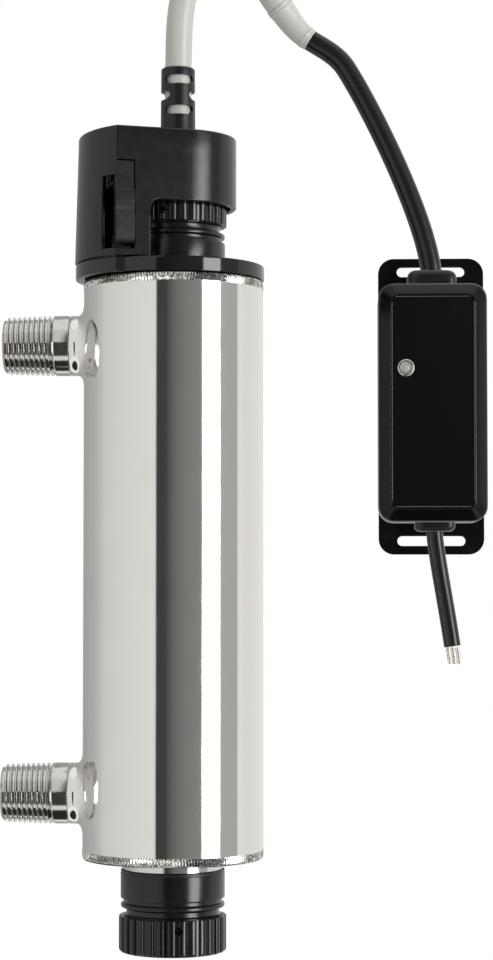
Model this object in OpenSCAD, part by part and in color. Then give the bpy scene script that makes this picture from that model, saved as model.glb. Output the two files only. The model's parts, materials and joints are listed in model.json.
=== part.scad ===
// UV clarifier: a stainless chamber that water flows through, a lamp that plugs into a head on
// top of it, and the box that drives the lamp. Millimetres. The origin is on the chamber's axis,
// half way up, with +Z up, the ports towards -X and the driver's flat back towards +Y.

/* [Chamber] */
// Outside diameter of the chamber tube
tube_d = 63.5; // [63:0.1:66]
// Wall thickness of the chamber tube
tube_wall = 1.65; // [1.2:0.05:2]
// Length between the outer faces of the two end plates
chamber_len = 203; // [200:1:240]
// Thickness of an end plate's disc
plate_t = 3; // [2:0.5:5]
// Distance between the two ports
port_gap = 158.2; // [120:0.2:160]

/* [Ports] */
// Outside radius of a port's pipe nipple
port_r = 10.67; // [10:0.01:10.8]
// Bore radius of a nipple
port_bore_r = 7.9; // [6:0.1:8.2]
// Distance from the chamber's axis to a nipple's free end
port_reach = 60; // [56:1:70]
// Thread pitch
thread_pitch = 1.814; // [1.5:0.001:2]
// Number of thread turns
thread_turns = 10; // [6:1:10]

/* [Gland] */
// Outer radius of a gland body's collar
collar_r = 18.3; // [18.25:0.01:18.4]
// Crest radius of a gland body's thread
gland_thread_r = 17.15; // [17:0.01:17.2]
// Pitch of a gland body's thread
gland_pitch = 3; // [2.5:0.5:3.5]
// Outer radius of a gland nut
nut_r = 18.93; // [18.8:0.01:19.1]
// Number of grooves round a gland nut
nut_grooves = 30; // [20:1:32]
// Radius of a gland nut's weep hole
weep_r = 1.4; // [0.5:0.05:1.5]

/* [Lamp] */
// Outer radius of the quartz sleeve
sleeve_r = 11.5; // [11:0.1:11.5]
// Outer radius of the lamp tube
lamp_r = 7.75; // [6.5:0.05:7.8]
// Radius of the lamp's ceramic base
lamp_base_r = 9.2; // [8.9:0.1:9.4]
// Radius of one lamp pin
pin_r = 1.15; // [0.8:0.05:1.15]

/* [Head] */
// Angle of the head's long side towards the front
head_turn = 19; // [0:1:45]
// Radius of the round end over the chamber's axis, and half the width of the long end
head_r = 22.3; // [22:0.1:23]
// Radius of the long end's arc, about the chamber's axis
head_long_r = 35; // [34.8:0.1:36]
// Wall thickness of the head
head_wall = 2.2; // [1.8:0.1:2.2]
// Height of the head above the end plate
head_top = 51.2; // [50.5:0.1:56]
// Height of the strain relief above the head
relief_len = 25.5; // [25.5:0.1:32]

/* [Driver] */
// Width of the driver's cover
box_w = 39.3; // [39:0.1:46]
// Height of the driver's cover
box_h = 86.2; // [86:0.1:96]
// Depth of the driver's cover
box_d = 24; // [24:0.5:30]
// Size of the bevel round the cover's front
box_bevel = 4.7; // [3:0.1:5]
// Height of the base plate, tabs included
base_h = 109.2; // [109:0.1:120]
// Thickness of the base plate
base_t = 2; // [1.5:0.5:3]
// End to end length of the slot in each tab
slot_len = 25; // [16:0.5:26]
// Width of the slots
slot_w = 3.6; // [3:0.1:4.5]
// Distance between the two slots
slot_gap = 99.3; // [98:0.1:104]

/* [Cords] */
// Radius of the white lamp cord
white_r = 4.75; // [3.5:0.05:4.75]
// Radius of the black cord out of the driver
black_r = 3.85; // [3:0.05:3.9]
// Radius of the power cord
power_r = 3.05; // [2.5:0.05:3.1]

/* [Hidden] */
$fn = 96;
e = 0.01;
tube_r = tube_d / 2;
tube_ri = tube_r - tube_wall;
plate_z = chamber_len / 2;
plate_bore_r = sleeve_r + 0.5;
weld_r = 1.7;
weld_drop = 1.35;

// Heights above an end plate's outer face
seat_h = 0.4;
shoulder_h = 4;
lip_h = 5;
flange_h = 5.5;
neck_h = 13.5;
gland_h = 26.5;
nut_foot_h = 19.9;
nut_h = 32.5;
washer_h = 29.5;
weep_h = 23.4;

// Radii of the flange, an end plate, a gland body and a gland nut
flange_r = tube_r + 0.45;
seat_r = 26;
shoulder_r = 17.5;
neck_r = 15.2;
lip_r = neck_r + 0.25;
oring_r = 1.38;
oring_mid_r = sleeve_r + oring_r + 0.02;
nut_bore_r = gland_thread_r + 0.1;

// Port: distances from the chamber's axis
collar_end = 33.5;
groove_at = 36.4;
thread_start = port_reach - thread_turns * thread_pitch - 0.16;

// Lamp and socket heights above the upper end plate
base_foot_h = 6.5;
base_head_h = 32.4;
pin_top_h = 38.5;
socket_foot_h = 32.6;
socket_h = 43;
carrier_h = 45;
ceiling_h = head_top - 2.5;
pin_circle_r = 5.5;
socket_r = 10.5;
contact_r = 1.6;
relief_x = 1.5;
relief_turn = 10;
screw_x = 15;

// Head: local coordinates, with the long end towards -x and the latch on the -y side
skirt_h = 5.9;
window_h = 26;
window_x = -14;
window_corner_r = 3.3;
lever_x0 = -26.8;
lever_x1 = -20;
lever_gap = 0.2;
pivot_x = -28.3;
pivot_y = -17.2;
pivot_h = 31.5;
pivot_r = 1;

// Driver: centre and depths
box_x = 92.5;
box_z = 60;
box_back = 36;
box_front = box_back - box_d;
box_wall = 1.6;
panel_w = 29.2;
panel_h = 75.4;
panel_t = 1;
boss_x = 14.9;
boss_z = 38.2;
post_x = 11;
post_z = 30;
board_y = 30.4;
board_t = 1.6;
cord_y = 27;
power_x = 93.3;
indicator_x = -9.75;
indicator_z = 12.1;

function unit(v) = v / norm(v);

// Cord paths, as chains of cubic curves: each is start, two handles and end. The splice's two
// ends stand a hair off the cords that run into it.
relief_top = plate_z + head_top + relief_len;
white_start = [relief_x, 0, plate_z + 46];
relief_exit = [relief_x, 0, relief_top];
cord_top = [20.5, 11.6, 221];
boot_start = [36.5, 24, 207];
boot_end = [48.44, 27, 194.3];
boot_start_lean = [4, 2, -4.5];
boot_end_lean = [5.9, 0.2, -3.7];
splice_gap = 0.03;
cord_bend = [61.45, 27, 183.7];
box_top = [box_x, cord_y, box_z + box_h / 2];
white_path = [
  [white_start, white_start + [0, 0, 10], relief_exit - [0, 0, 10], relief_exit],
  [relief_exit, relief_exit + [0.9, 0, 10.4], cord_top - [21, 19.6, 0], cord_top],
  [cord_top, cord_top + [8.5, 7.9, 0], boot_start - boot_start_lean, boot_start]
];
boot_path = [
  [boot_start + splice_gap * unit(boot_start_lean), boot_start + boot_start_lean,
   boot_end - boot_end_lean, boot_end - splice_gap * unit(boot_end_lean)]
];
black_path = [
  [boot_end, boot_end + 0.83 * boot_end_lean, cord_bend + [-3.3, 0, 5.2], cord_bend],
  [cord_bend, cord_bend + [10, 0, -15.9], box_top + [-0.1, 0, 21.2], box_top + [0, 0, 3]],
  [box_top + [0, 0, 3], box_top + [0, 0, 1], box_top - [0, 0, 3], box_top - [0, 0, 5]]
];
box_foot = [power_x, cord_y, box_z - box_h / 2];
power_end = [99.6, cord_y, -28];
power_lean = unit([0.14, 0, -1]);
power_path = [
  [box_foot + [0, 0, 5], box_foot + [0, 0, 3], box_foot, box_foot - [0, 0, 3]],
  [box_foot - [0, 0, 3], box_foot - [0, 0, 9], power_end - 14 * power_lean, power_end]
];

// ---------- shared shapes ----------

function curve(p, t) =
  let (u = 1 - t) u * u * u * p[0] + 3 * u * u * t * p[1] + 3 * u * t * t * p[2] + t * t * t * p[3];

function heading(p, t) =
  let (u = 1 - t,
       v = u * u * (p[1] - p[0]) + 2 * u * t * (p[2] - p[1]) + t * t * (p[3] - p[2]))
  v / norm(v);

// A ring of n points about c, square to the heading d
function ring(c, d, r, n) =
  let (a = cross([0, 1, 0], d) / norm(cross([0, 1, 0], d)), b = cross(d, a))
  [for (i = [0:n - 1]) c + r * (cos(360 * i / n) * a + sin(360 * i / n) * b)];

// A round bar along a chain of curves, with its radius going from r0 to r1
module cord(path, r0, r1, steps = 14, n = 24) {
  stations = [
    for (k = [0:len(path) - 1]) for (i = [(k == 0 ? 0 : 1):steps]) [k, i / steps]
  ];
  last = len(stations) - 1;
  points = [
    for (s = [0:last]) each ring(
      curve(path[stations[s][0]], stations[s][1]),
      heading(path[stations[s][0]], stations[s][1]),
      r0 + (r1 - r0) * s / last, n)
  ];
  sides = [
    for (s = [0:last - 1]) for (i = [0:n - 1])
      [s * n + i, s * n + (i + 1) % n, (s + 1) * n + (i + 1) % n, (s + 1) * n + i]
  ];
  ends = [[for (i = [0:n - 1]) n - 1 - i], [for (i = [0:n - 1]) last * n + i]];
  polyhedron(points = points, faces = concat(sides, ends), convexity = 8);
}

module tube(r_in, r_out, z0, z1) translate([0, 0, z0]) difference() {
  cylinder(r = r_out, h = z1 - z0);
  translate([0, 0, -1]) cylinder(r = r_in, h = z1 - z0 + 2);
}

module block(p0, p1) translate(p0) cube(p1 - p0);

// Rounded rectangle about the origin
module rounded(w, h, r) {
  square([w - 2 * r, h], center = true);
  square([w, h - 2 * r], center = true);
  for (x = [-1, 1]) for (y = [-1, 1]) translate([x * (w / 2 - r), y * (h / 2 - r)]) circle(r);
}

module upper_end() translate([0, 0, plate_z]) children();
module lower_end() mirror([0, 0, 1]) upper_end() children();
module at_head() rotate([0, 0, head_turn]) upper_end() children();

// Turns a shape drawn on the XY plane to stand on a port's axis
module at_port(side) translate([0, 0, side * port_gap / 2]) rotate([0, -90, 0]) children();

// ---------- chamber ----------

module rim_section() difference() {
  union() {
    translate([tube_ri, 0]) square([tube_wall, plate_z - weld_drop]);
    intersection() {
      translate([tube_ri, plate_z - weld_drop]) circle(weld_r);
      square([tube_r, chamber_len]);
    }
  }
  square([tube_ri, plate_z]);
}

// The tube is drawn outwards round each port, in a flare that starts as an arc
module port_flare() {
  flare_r = 3;
  arc = [for (a = [180:9:225]) [port_r + flare_r * (1 + cos(a)), collar_end + flare_r * sin(a)]];
  rotate_extrude() polygon(concat([[0, 24], [0, collar_end]], arc, [[17, 25.93], [17, 24]]));
}

module chamber_tube() color("silver") difference() {
  union() {
    rotate_extrude() rim_section();
    rotate_extrude() mirror([0, 1]) rim_section();
    for (s = [-1, 1]) at_port(s) port_flare();
  }
  cylinder(r = tube_ri, h = chamber_len, center = true);
  for (s = [-1, 1]) at_port(s) cylinder(r = port_bore_r + 0.5, h = port_reach);
}

module end_plate() color("lightgray") difference() {
  union() {
    translate([0, 0, -plate_t]) cylinder(r = tube_ri - 0.02, h = plate_t);
    cylinder(r = seat_r, h = seat_h);
    cylinder(r = shoulder_r, h = shoulder_h);
    cylinder(r = neck_r, h = neck_h - 0.6);
    translate([0, 0, neck_h - 0.6 - e]) cylinder(r1 = neck_r, r2 = neck_r - 0.6, h = 0.6 + e);
  }
  translate([0, 0, -plate_t - 1]) cylinder(r = plate_bore_r, h = neck_h + plate_t + 2);
}

module upper_end_plate() upper_end() end_plate();
module lower_end_plate() lower_end() end_plate();

// The pipe thread tapers by 1 in 32 on its radius
function crest_r(h) = port_r - (h - thread_start) / 32;

module nipple() {
  thread_depth = 1.15;
  turns = [for (i = [0:thread_turns - 1]) thread_start + i * thread_pitch];
  ridges = [
    for (h = turns) each [
      [crest_r(h) - thread_depth, h + 0.1 * thread_pitch],
      [crest_r(h), h + 0.44 * thread_pitch],
      [crest_r(h), h + 0.56 * thread_pitch],
      [crest_r(h) - thread_depth, h + 0.9 * thread_pitch]
    ]
  ];
  groove = [
    [port_r, groove_at - 0.2], [port_r - 0.3, groove_at - 0.2],
    [port_r - 0.3, groove_at + 0.2], [port_r, groove_at + 0.2]
  ];
  end_r = crest_r(port_reach) - thread_depth;
  color("lightgray") rotate_extrude() polygon(concat(
    [[port_bore_r, collar_end], [port_r, collar_end]], groove, [[port_r, thread_start]],
    ridges, [[end_r, port_reach], [port_bore_r, port_reach]]));
}

module inlet_nipple() at_port(-1) nipple();
module outlet_nipple() at_port(1) nipple();

// ---------- glands ----------

// Outline of the round body with its lug towards -x
module flange_outline(round_r, long_r) {
  circle(round_r);
  intersection() {
    circle(long_r);
    translate([-2 * long_r, -head_r]) square([2 * long_r, 2 * head_r]);
  }
}

// Catch that the latch's foot stands behind
module flange_catch() {
  catch_h = 9.5;
  block([lever_x0 + 1.3, -20, flange_h - 1], [lever_x1 - 0.6, -18.6, catch_h]);
  block([lever_x0 + 1.3, -20, catch_h - 1.1], [lever_x1 - 0.6, -17.5, catch_h]);
}

module flange_ring() color("dimgray") at_head() difference() {
  union() {
    translate([0, 0, seat_h]) linear_extrude(flange_h - seat_h)
      flange_outline(flange_r, head_long_r - 0.3);
    flange_catch();
  }
  cylinder(r = lip_r, h = 40);
  cylinder(r = shoulder_r + 0.2, h = shoulder_h);
  translate([0, 0, lip_h]) cylinder(r = collar_r + 0.2, h = 10);
}

module gland_body() {
  groove_r = 17.2;
  ridge_r = 18.2;
  waist_r = 16.3;
  root_r = 16.2;
  thread_foot = nut_foot_h - 0.4;
  turns = floor((gland_h - thread_foot) / gland_pitch);
  ridge = [for (a = [-60:20:60]) [ridge_r - 0.9 + 0.9 * cos(a), 16.2 + 0.9 * sin(a)]];
  crests = [
    for (i = [0:turns - 1]) let (h = thread_foot + i * gland_pitch) each [
      [root_r, h + 0.2], [gland_thread_r, h + 0.9], [gland_thread_r, h + 1.9], [root_r, h + 2.6]
    ]
  ];
  color("dimgray") rotate_extrude() polygon(concat(
    [[neck_r + 0.05, lip_h], [collar_r, lip_h], [collar_r, 13.9], [groove_r, 13.9],
     [groove_r, 15.3]],
    ridge, [[waist_r, 17.1], [waist_r, thread_foot]], crests,
    [[root_r, gland_h], [14.3, gland_h], [14.3, 21.5], [plate_bore_r - 0.2, 21.5],
     [plate_bore_r - 0.2, neck_h + 0.2], [neck_r + 0.05, neck_h + 0.2]]));
}

module upper_gland_body() upper_end() gland_body();
module lower_gland_body() lower_end() gland_body();

module lower_neck_gasket() color("black")
  lower_end() tube(lip_r, collar_r - 0.1, shoulder_h, lip_h);

module oring() color("black")
  translate([0, 0, 22.9]) rotate_extrude() translate([oring_mid_r, 0]) circle(oring_r, $fn = 48);

module upper_oring() upper_end() oring();
module lower_oring() lower_end() oring();

module thrust_washer() color("gray") {
  tube(sleeve_r + 0.2, 14.15, 24.35, 27 + e);
  tube(sleeve_r + 0.2, 15.5, 27, washer_h);
}

module upper_thrust_washer() upper_end() thrust_washer();
module lower_thrust_washer() lower_end() thrust_washer();

// A closed nut has no hole in its end; weep is the bearing of its weep hole
module gland_nut(closed, weep) {
  edge_r = 1.4;
  groove_r = 1;
  outline = concat(
    [[0, nut_foot_h], [nut_r - 0.4, nut_foot_h], [nut_r, nut_foot_h + 0.4]],
    [for (a = [0:15:90]) [nut_r - edge_r + edge_r * cos(a), nut_h - edge_r + edge_r * sin(a)]],
    [[0, nut_h]]);
  color("black") difference() {
    rotate_extrude() polygon(outline);
    translate([0, 0, nut_foot_h - 1]) cylinder(r = nut_bore_r, h = washer_h - nut_foot_h + 1);
    if (!closed) cylinder(r = plate_bore_r, h = 60);
    for (i = [0:nut_grooves - 1]) rotate([0, 0, 360 * i / nut_grooves])
      translate([nut_r + 0.2, 0, nut_foot_h - 1]) cylinder(r = groove_r, h = 20, $fn = 24);
    translate([0, 0, weep_h]) rotate([0, 90, weep])
      translate([0, 0, nut_bore_r - 2]) cylinder(r = weep_r, h = 6, $fn = 32);
  }
}

module upper_gland_nut() upper_end() gland_nut(false, -98);
module lower_gland_nut() lower_end() gland_nut(true, -79.4);

// ---------- lamp ----------

module quartz_sleeve() color("lightcyan", 0.5)
  tube(sleeve_r - 1.5, sleeve_r, -plate_z - 27.5, plate_z + 27.5);

module lamp_tube() color("azure", 0.5) difference() {
  translate([0, 0, -plate_z - 2.5]) cylinder(r = lamp_r, h = chamber_len + 13);
  translate([0, 0, -plate_z - 1.5]) cylinder(r = lamp_r - 1, h = chamber_len + 11);
}

module lamp_lower_cap() color("white") difference() {
  translate([0, 0, -plate_z - 10.5]) cylinder(r = lamp_base_r - 0.5, h = 12);
  translate([0, 0, -plate_z - 2.5 - e]) cylinder(r = lamp_r + 0.05, h = 12);
}

module at_pins() for (a = [45:90:315]) rotate([0, 0, a]) translate([pin_circle_r, 0, 0]) children();

module lamp_base() color("white") upper_end() difference() {
  translate([0, 0, base_foot_h]) cylinder(r = lamp_base_r, h = base_head_h - base_foot_h);
  translate([0, 0, base_foot_h - 1]) cylinder(r = lamp_r + 0.05, h = 5 + e);
  at_pins() translate([0, 0, 20]) cylinder(r = pin_r + 0.02, h = 20, $fn = 32);
}

module lamp_pins() color("goldenrod") upper_end()
  at_pins() translate([0, 0, 20 + e]) cylinder(r = pin_r, h = pin_top_h - 20, $fn = 32);

// A coil between two posts; its turns touch, so that it is one piece
module filament() {
  coil_r = 1.1;
  wire_r = 0.32;
  for (i = [0:8]) translate([0.5 * (i - 4), 0, 0]) rotate([0, 90, 0])
    rotate_extrude($fn = 32) translate([coil_r, 0]) circle(wire_r, $fn = 16);
  for (s = [-1, 1]) translate([2.2 * s, 0, coil_r]) cylinder(r = wire_r + 0.1, h = 6, $fn = 24);
}

module lamp_filaments() color("dimgray") {
  translate([0, 0, plate_z - 3.5]) filament();
  mirror([0, 0, 1]) translate([0, 0, plate_z - 9.5]) filament();
}

module lamp_return_wire() color("gray")
  translate([8.55, 0, -plate_z + 1.5 + e])
    cylinder(r = 0.6, h = chamber_len + base_foot_h - 1.5 - 2 * e, $fn = 24);

// ---------- head ----------

module head_outline(inset) {
  circle(head_r - inset);
  intersection() {
    circle(head_long_r - inset);
    translate([-2 * head_long_r, inset - head_r])
      square([2 * head_long_r, 2 * (head_r - inset)]);
  }
}

// Space that is open below the round end of the head, seen from the side
module window_profile() {
  reach = 60;
  difference() {
    translate([window_x, 0]) square([reach, window_h]);
    difference() {
      translate([window_x, window_h - window_corner_r]) square(window_corner_r);
      translate([window_x + window_corner_r, window_h - window_corner_r]) circle(window_corner_r);
    }
  }
}

module screw_posts(r, z0, z1)
  for (s = [-1, 1]) translate([s * screw_x, 0, z0]) cylinder(r = r, h = z1 - z0, $fn = 48);

// Slot for the lever; it runs on round the corner, into the long end's arc
module latch_slot() {
  block([lever_x0 - lever_gap, -30, 8.7], [lever_x1 + lever_gap, -18.7, 39.2]);
  block([-40, -30, 8.7], [lever_x0, -17.1, 33.7]);
}

module pivot_bosses() {
  block([-29, -19.2, pivot_h - 2.2], [lever_x0 - 0.3, -15, pivot_h + 4.5]);
  block([lever_x1 + 0.3, -20.4, pivot_h - 2.2], [-17.6, -15, pivot_h + 4.5]);
}

// Hole for the latch's pin, through the inner boss and blind in the outer one
module pivot_hole() translate([pivot_x - 0.05, pivot_y, pivot_h]) rotate([0, 90, 0])
  cylinder(r = pivot_r + 0.02, h = 12, $fn = 48);

module head_housing() color("black") at_head() difference() {
  union() {
    difference() {
      translate([0, 0, skirt_h]) linear_extrude(head_top - skirt_h) head_outline(0);
      translate([0, 0, -1]) linear_extrude(ceiling_h + 1) head_outline(head_wall);
      latch_slot();
    }
    screw_posts(2.7, carrier_h, ceiling_h + e);
    pivot_bosses();
  }
  rotate([90, 0, 0]) translate([0, 0, -50]) linear_extrude(100) window_profile();
  screw_posts(1.21, carrier_h - 1, ceiling_h + 1);
  rotate([0, 0, -head_turn]) translate([relief_x, 0, 0]) cylinder(r = 6, h = 60);
  pivot_hole();
}

module socket_carrier() color("dimgray") at_head() difference() {
  translate([0, 0, socket_h]) cylinder(r = 19.6, h = carrier_h - socket_h);
  translate([0, 0, socket_h - 1]) cylinder(r = 3.6, h = 5);
  screw_posts(1.4, socket_h - 1, carrier_h + 1);
}

module carrier_screws() color("silver") at_head() {
  screw_posts(2.2, socket_h - 1.4, socket_h - e);
  screw_posts(1.2, socket_h - 1, ceiling_h);
}

module lamp_socket() color("ivory") upper_end() difference() {
  translate([0, 0, socket_foot_h]) cylinder(r = socket_r, h = socket_h - socket_foot_h);
  at_pins() translate([0, 0, socket_foot_h - 1]) cylinder(r = pin_r + 0.15, h = 20, $fn = 32);
  at_pins() translate([0, 0, socket_foot_h + 1.4]) cylinder(r = contact_r + 0.02, h = 20, $fn = 32);
}

module socket_contacts() color("goldenrod") upper_end() at_pins() {
  tube(pin_r + 0.05, contact_r, socket_foot_h + 1.5, socket_h - 1, $fn = 32);
  translate([0, 0, socket_h - 1 - e]) cylinder(r = contact_r, h = 1, $fn = 32);
}

// Side view of the lever: x is the depth from the chamber's axis, y the height
module lever_profile() difference() {
  union() {
    polygon([
      [22, 39], [22.4, 29.5], [23.6, 28.7], [24, 24.5], [23.2, 23], [23, 21.2], [23.9, 20],
      [23.6, 11.5], [22.6, 10.3], [20.2, 10.3], [20.2, 39]
    ]);
    translate([-pivot_y, pivot_h - 2.2]) square([3.4, 4.4]);
    translate([-pivot_y, pivot_h]) circle(2.2, $fn = 48);
    translate([15.6, 11.1]) square([5, 2.2]);
    translate([15.6, 7.6]) square([1.4, 5]);
    translate([15.6, 7.6]) square([1.8, 0.7]);
  }
  translate([-pivot_y, pivot_h]) circle(pivot_r + 0.05, $fn = 48);
}

// The spring sits in the pocket beside the lever's hub
module latch_lever() color("black") at_head() difference() {
  translate([lever_x0, 0, 0]) rotate([90, 0, 90]) linear_extrude(lever_x1 - lever_x0)
    mirror([1, 0]) lever_profile();
  block([lever_x1 - 3.4, -20, pivot_h - 4], [lever_x1 + 1, -10, pivot_h + 4]);
}

module latch_pin() color("silver") at_head() translate([pivot_x, pivot_y, pivot_h]) rotate([0, 90, 0])
  cylinder(r = pivot_r, h = 10.6, $fn = 48);

// Torsion spring: one leg bears on the head's roof side, the other points at the lever
module latch_spring() color("silver") at_head() translate([lever_x1 - 2.9, pivot_y, pivot_h]) {
  wire_r = 0.35;
  coil_r = 1.6;
  for (i = [0:3]) translate([0.6 * i, 0, 0]) rotate([0, 90, 0])
    rotate_extrude($fn = 48) translate([coil_r, 0]) circle(wire_r, $fn = 16);
  translate([1.8, coil_r, 0]) cylinder(r = wire_r, h = 7, $fn = 16);
  translate([0, -coil_r, -4.8]) cylinder(r = wire_r, h = 4.8, $fn = 16);
}

// Cut across the strain relief, with rounded ends, right through both sides
module relief_slot(h, turn) rotate([90, 0, turn]) translate([0, h, -20]) linear_extrude(40) {
  slot_r = 1.65;
  square([6.7, 2 * slot_r], center = true);
  for (s = [-1, 1]) translate([3.35 * s, 0]) circle(slot_r, $fn = 32);
}

module strain_relief() color("black") upper_end() translate([relief_x, 0, 0]) difference() {
  union() {
    translate([0, 0, ceiling_h - 2.1]) cylinder(r = 7.5, h = 2);
    translate([0, 0, ceiling_h - 1]) cylinder(r = 5.95, h = 4);
    translate([0, 0, head_top]) cylinder(r1 = 6.2, r2 = 6, h = relief_len);
  }
  cylinder(r = 4.8, h = 100);
  for (h = [10, 20.9]) relief_slot(head_top + h, relief_turn);
  relief_slot(head_top + 15.4, relief_turn + 90);
}

module lamp_cord() color("white") cord(white_path, white_r, white_r);

module cord_wires() color("royalblue") upper_end()
  for (a = [0:90:270]) rotate([0, 0, a]) translate([2.4, 0, socket_h + 0.05])
    cylinder(r = 0.65, h = 2.9, $fn = 24);

module cord_splice() color("white") cord(boot_path, 5.4, 4.2);

module output_cord() color("black") cord(black_path, black_r, black_r);

// ---------- driver ----------

// Stands a shape drawn on the XY plane upright about the driver's centre, facing the front
module at_box(y) translate([box_x, y, box_z]) rotate([90, 0, 0]) children();

module slab(y0, y1) at_box(y1) linear_extrude(y1 - y0) children();

module at_bosses() for (x = [-1, 1]) for (z = [-1, 1]) translate([x * boss_x, z * boss_z]) children();
module at_posts() for (x = [-1, 1]) for (z = [-1, 1]) translate([x * post_x, z * post_z]) children();

// A block that tapers at 45 degrees over its front bevel, seen along one side
module bevel_side(w, length) linear_extrude(length, center = true) polygon([
  [-w / 2, box_d], [w / 2, box_d], [w / 2, box_bevel], [w / 2 - box_bevel, 0],
  [box_bevel - w / 2, 0], [-w / 2, box_bevel]
]);

module cover_block() intersection() {
  slab(box_front, box_back) rounded(box_w, box_h, 5.6);
  translate([box_x, box_front, box_z]) bevel_side(box_w, box_h);
  translate([box_x, box_front, box_z]) rotate([0, 90, 0]) bevel_side(box_h, box_w);
}

module driver_cover() color("black") difference() {
  union() {
    difference() {
      cover_block();
      slab(box_front + 4.9, box_back + 1)
        rounded(box_w - 2 * box_wall, box_h - 2 * box_wall, 4);
      slab(box_front + 2.4, box_front + 5)
        rounded(box_w - 8.3, box_h - 8.3, 2);
    }
    slab(box_front + 4, box_back) at_bosses() circle(2.9, $fn = 48);
  }
  slab(box_front - 1, box_front + 1.2) rounded(panel_w + 0.2, panel_h + 0.2, 1.6);
  slab(box_front + 8, box_back + 1) at_bosses() circle(1.21, $fn = 48);
  slab(0, box_front + 10) translate([indicator_x, indicator_z]) circle(2.6, $fn = 48);
  translate([box_x, cord_y, box_z]) cylinder(r = 5, h = 60, $fn = 64);
  translate([power_x, cord_y, box_z - 60]) cylinder(r = 4.5, h = 60, $fn = 64);
}

module driver_panel() color("black") slab(box_front + 0.2, box_front + 0.2 + panel_t) difference() {
  rounded(panel_w, panel_h, 1.5);
  translate([indicator_x, indicator_z]) circle(2.6, $fn = 48);
}

module tab_slot() {
  square([slot_len - slot_w, slot_w], center = true);
  for (s = [-1, 1]) translate([s * (slot_len - slot_w) / 2, 0]) circle(slot_w / 2, $fn = 48);
}

module driver_base() color("black") {
  difference() {
    slab(box_back, box_back + base_t) difference() {
      rounded(box_w - 0.6, base_h, 5.7);
      for (s = [-1, 1]) translate([0, s * slot_gap / 2]) tab_slot();
    }
    slab(box_back - 1, box_back + base_t + 1) at_bosses() circle(1.35, $fn = 48);
    at_box(box_back + base_t) at_bosses() translate([0, 0, -e]) cylinder(r1 = 2.7, r2 = 1.35, h = 1.35);
  }
  slab(board_y + board_t, box_back + e) at_posts() circle(2.2, $fn = 48);
  slab(board_y - 1, box_back) at_posts() circle(0.9, $fn = 32);
}

module cover_screws() color("silver") {
  slab(box_front + 9, box_back + 1) at_bosses() circle(1.2, $fn = 48);
  at_box(box_back + base_t - 0.1) at_bosses() cylinder(r1 = 2.5, r2 = 1.2, h = 1.3);
}

module driver_board() color("darkgreen") slab(board_y, board_y + board_t) difference() {
  rounded(panel_w, 70, 1);
  at_posts() circle(0.95, $fn = 32);
}

module driver_transformer() color("sienna") at_box(board_y - 0.02) {
  translate([-9, -4, 0]) linear_extrude(2) square([18, 20]);
  translate([0, 6, 0]) cylinder(r = 6, h = 13);
  translate([-9, 11, 0]) linear_extrude(13) square([18, 5]);
  translate([-9, -4, 0]) linear_extrude(13) square([18, 5]);
  translate([-9, -4, 11]) linear_extrude(2) square([18, 20]);
}

module driver_capacitors() color("navy") at_box(board_y - 0.02) {
  translate([-6, -14, 0]) cylinder(r = 5, h = 12.5);
  translate([6.5, -13, 0]) cylinder(r = 4, h = 11);
  translate([8, -22, 0]) cylinder(r = 2.5, h = 7);
}

module driver_fuse() color("white") at_box(board_y - 3.2) translate([-10, -23, 0]) rotate([0, 90, 0]) {
  cylinder(r = 2.5, h = 14);
  cylinder(r = 3, h = 3);
  translate([0, 0, 11]) cylinder(r = 3, h = 3);
}

// Wires from the two cords down onto the board
module driver_leads() color("firebrick") {
  for (s = [-1.5, -0.5, 0.5, 1.5]) translate([box_x + 1.5 * s, cord_y, box_z + 33]) {
    cylinder(r = 0.55, h = 5.05, $fn = 24);
    rotate([-90, 0, 0]) translate([0, -0.5, -0.5]) cylinder(r = 0.55, h = board_y - cord_y + 0.4, $fn = 24);
  }
  for (s = [-1, 0, 1]) translate([power_x + 1.6 * s, cord_y, box_z - 38]) {
    cylinder(r = 0.6, h = 5, $fn = 24);
    rotate([-90, 0, 0]) translate([0, -4.5, -0.5]) cylinder(r = 0.6, h = board_y - cord_y + 0.4, $fn = 24);
  }
}

module indicator_bezel() color("gainsboro") at_box(box_front + 3.5)
  translate([indicator_x, indicator_z, 0]) difference() {
    union() {
      cylinder(r = 2.55, h = 3.5, $fn = 48);
      translate([0, 0, 3.32]) cylinder(r1 = 3.1, r2 = 2.7, h = 0.5, $fn = 48);
    }
    translate([0, 0, -1]) cylinder(r = 1.95, h = 8, $fn = 48);
  }

module indicator_lens() color("azure") at_box(box_front + 3.5)
  translate([indicator_x, indicator_z, 0]) {
    cylinder(r = 1.9, h = 3.1, $fn = 48);
    intersection() {
      translate([0, 0, 2]) sphere(r = 1.9, $fn = 48);
      cylinder(r = 3, h = 10);
    }
  }

// Grommet: a block outside the wall, a neck through it and a collar inside. Its bore opens out
// at the mouth, where the cord bends away.
module grommet(w, h, corner, neck, bore) difference() {
  union() {
    translate([0, 7, 0]) rotate([90, 0, 0]) linear_extrude(14) intersection() {
      rounded(w, 2 * h, corner);
      translate([-w, 0]) square([2 * w, h]);
    }
    translate([0, 0, -box_wall - 0.5]) cylinder(r = neck, h = box_wall + 0.5 + e, $fn = 64);
    translate([0, 0, -box_wall - 1.8]) cylinder(r = neck + 1.2, h = 1.7, $fn = 64);
  }
  translate([0, 0, -10]) cylinder(r = bore, h = 30, $fn = 64);
  translate([0, 0, h - 1.6]) cylinder(r1 = bore, r2 = bore + 1.3, h = 1.6 + e, $fn = 64);
}

module output_grommet() color("black")
  translate(box_top) grommet(18, 5.6, 3.8, 4.9, black_r + 0.08);

module input_grommet() color("black")
  translate(box_foot) mirror([0, 0, 1]) grommet(14.7, 3.3, 3, 4.4, power_r + 0.08);

module power_cord() color("black") cord(power_path, power_r, power_r);

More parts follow.
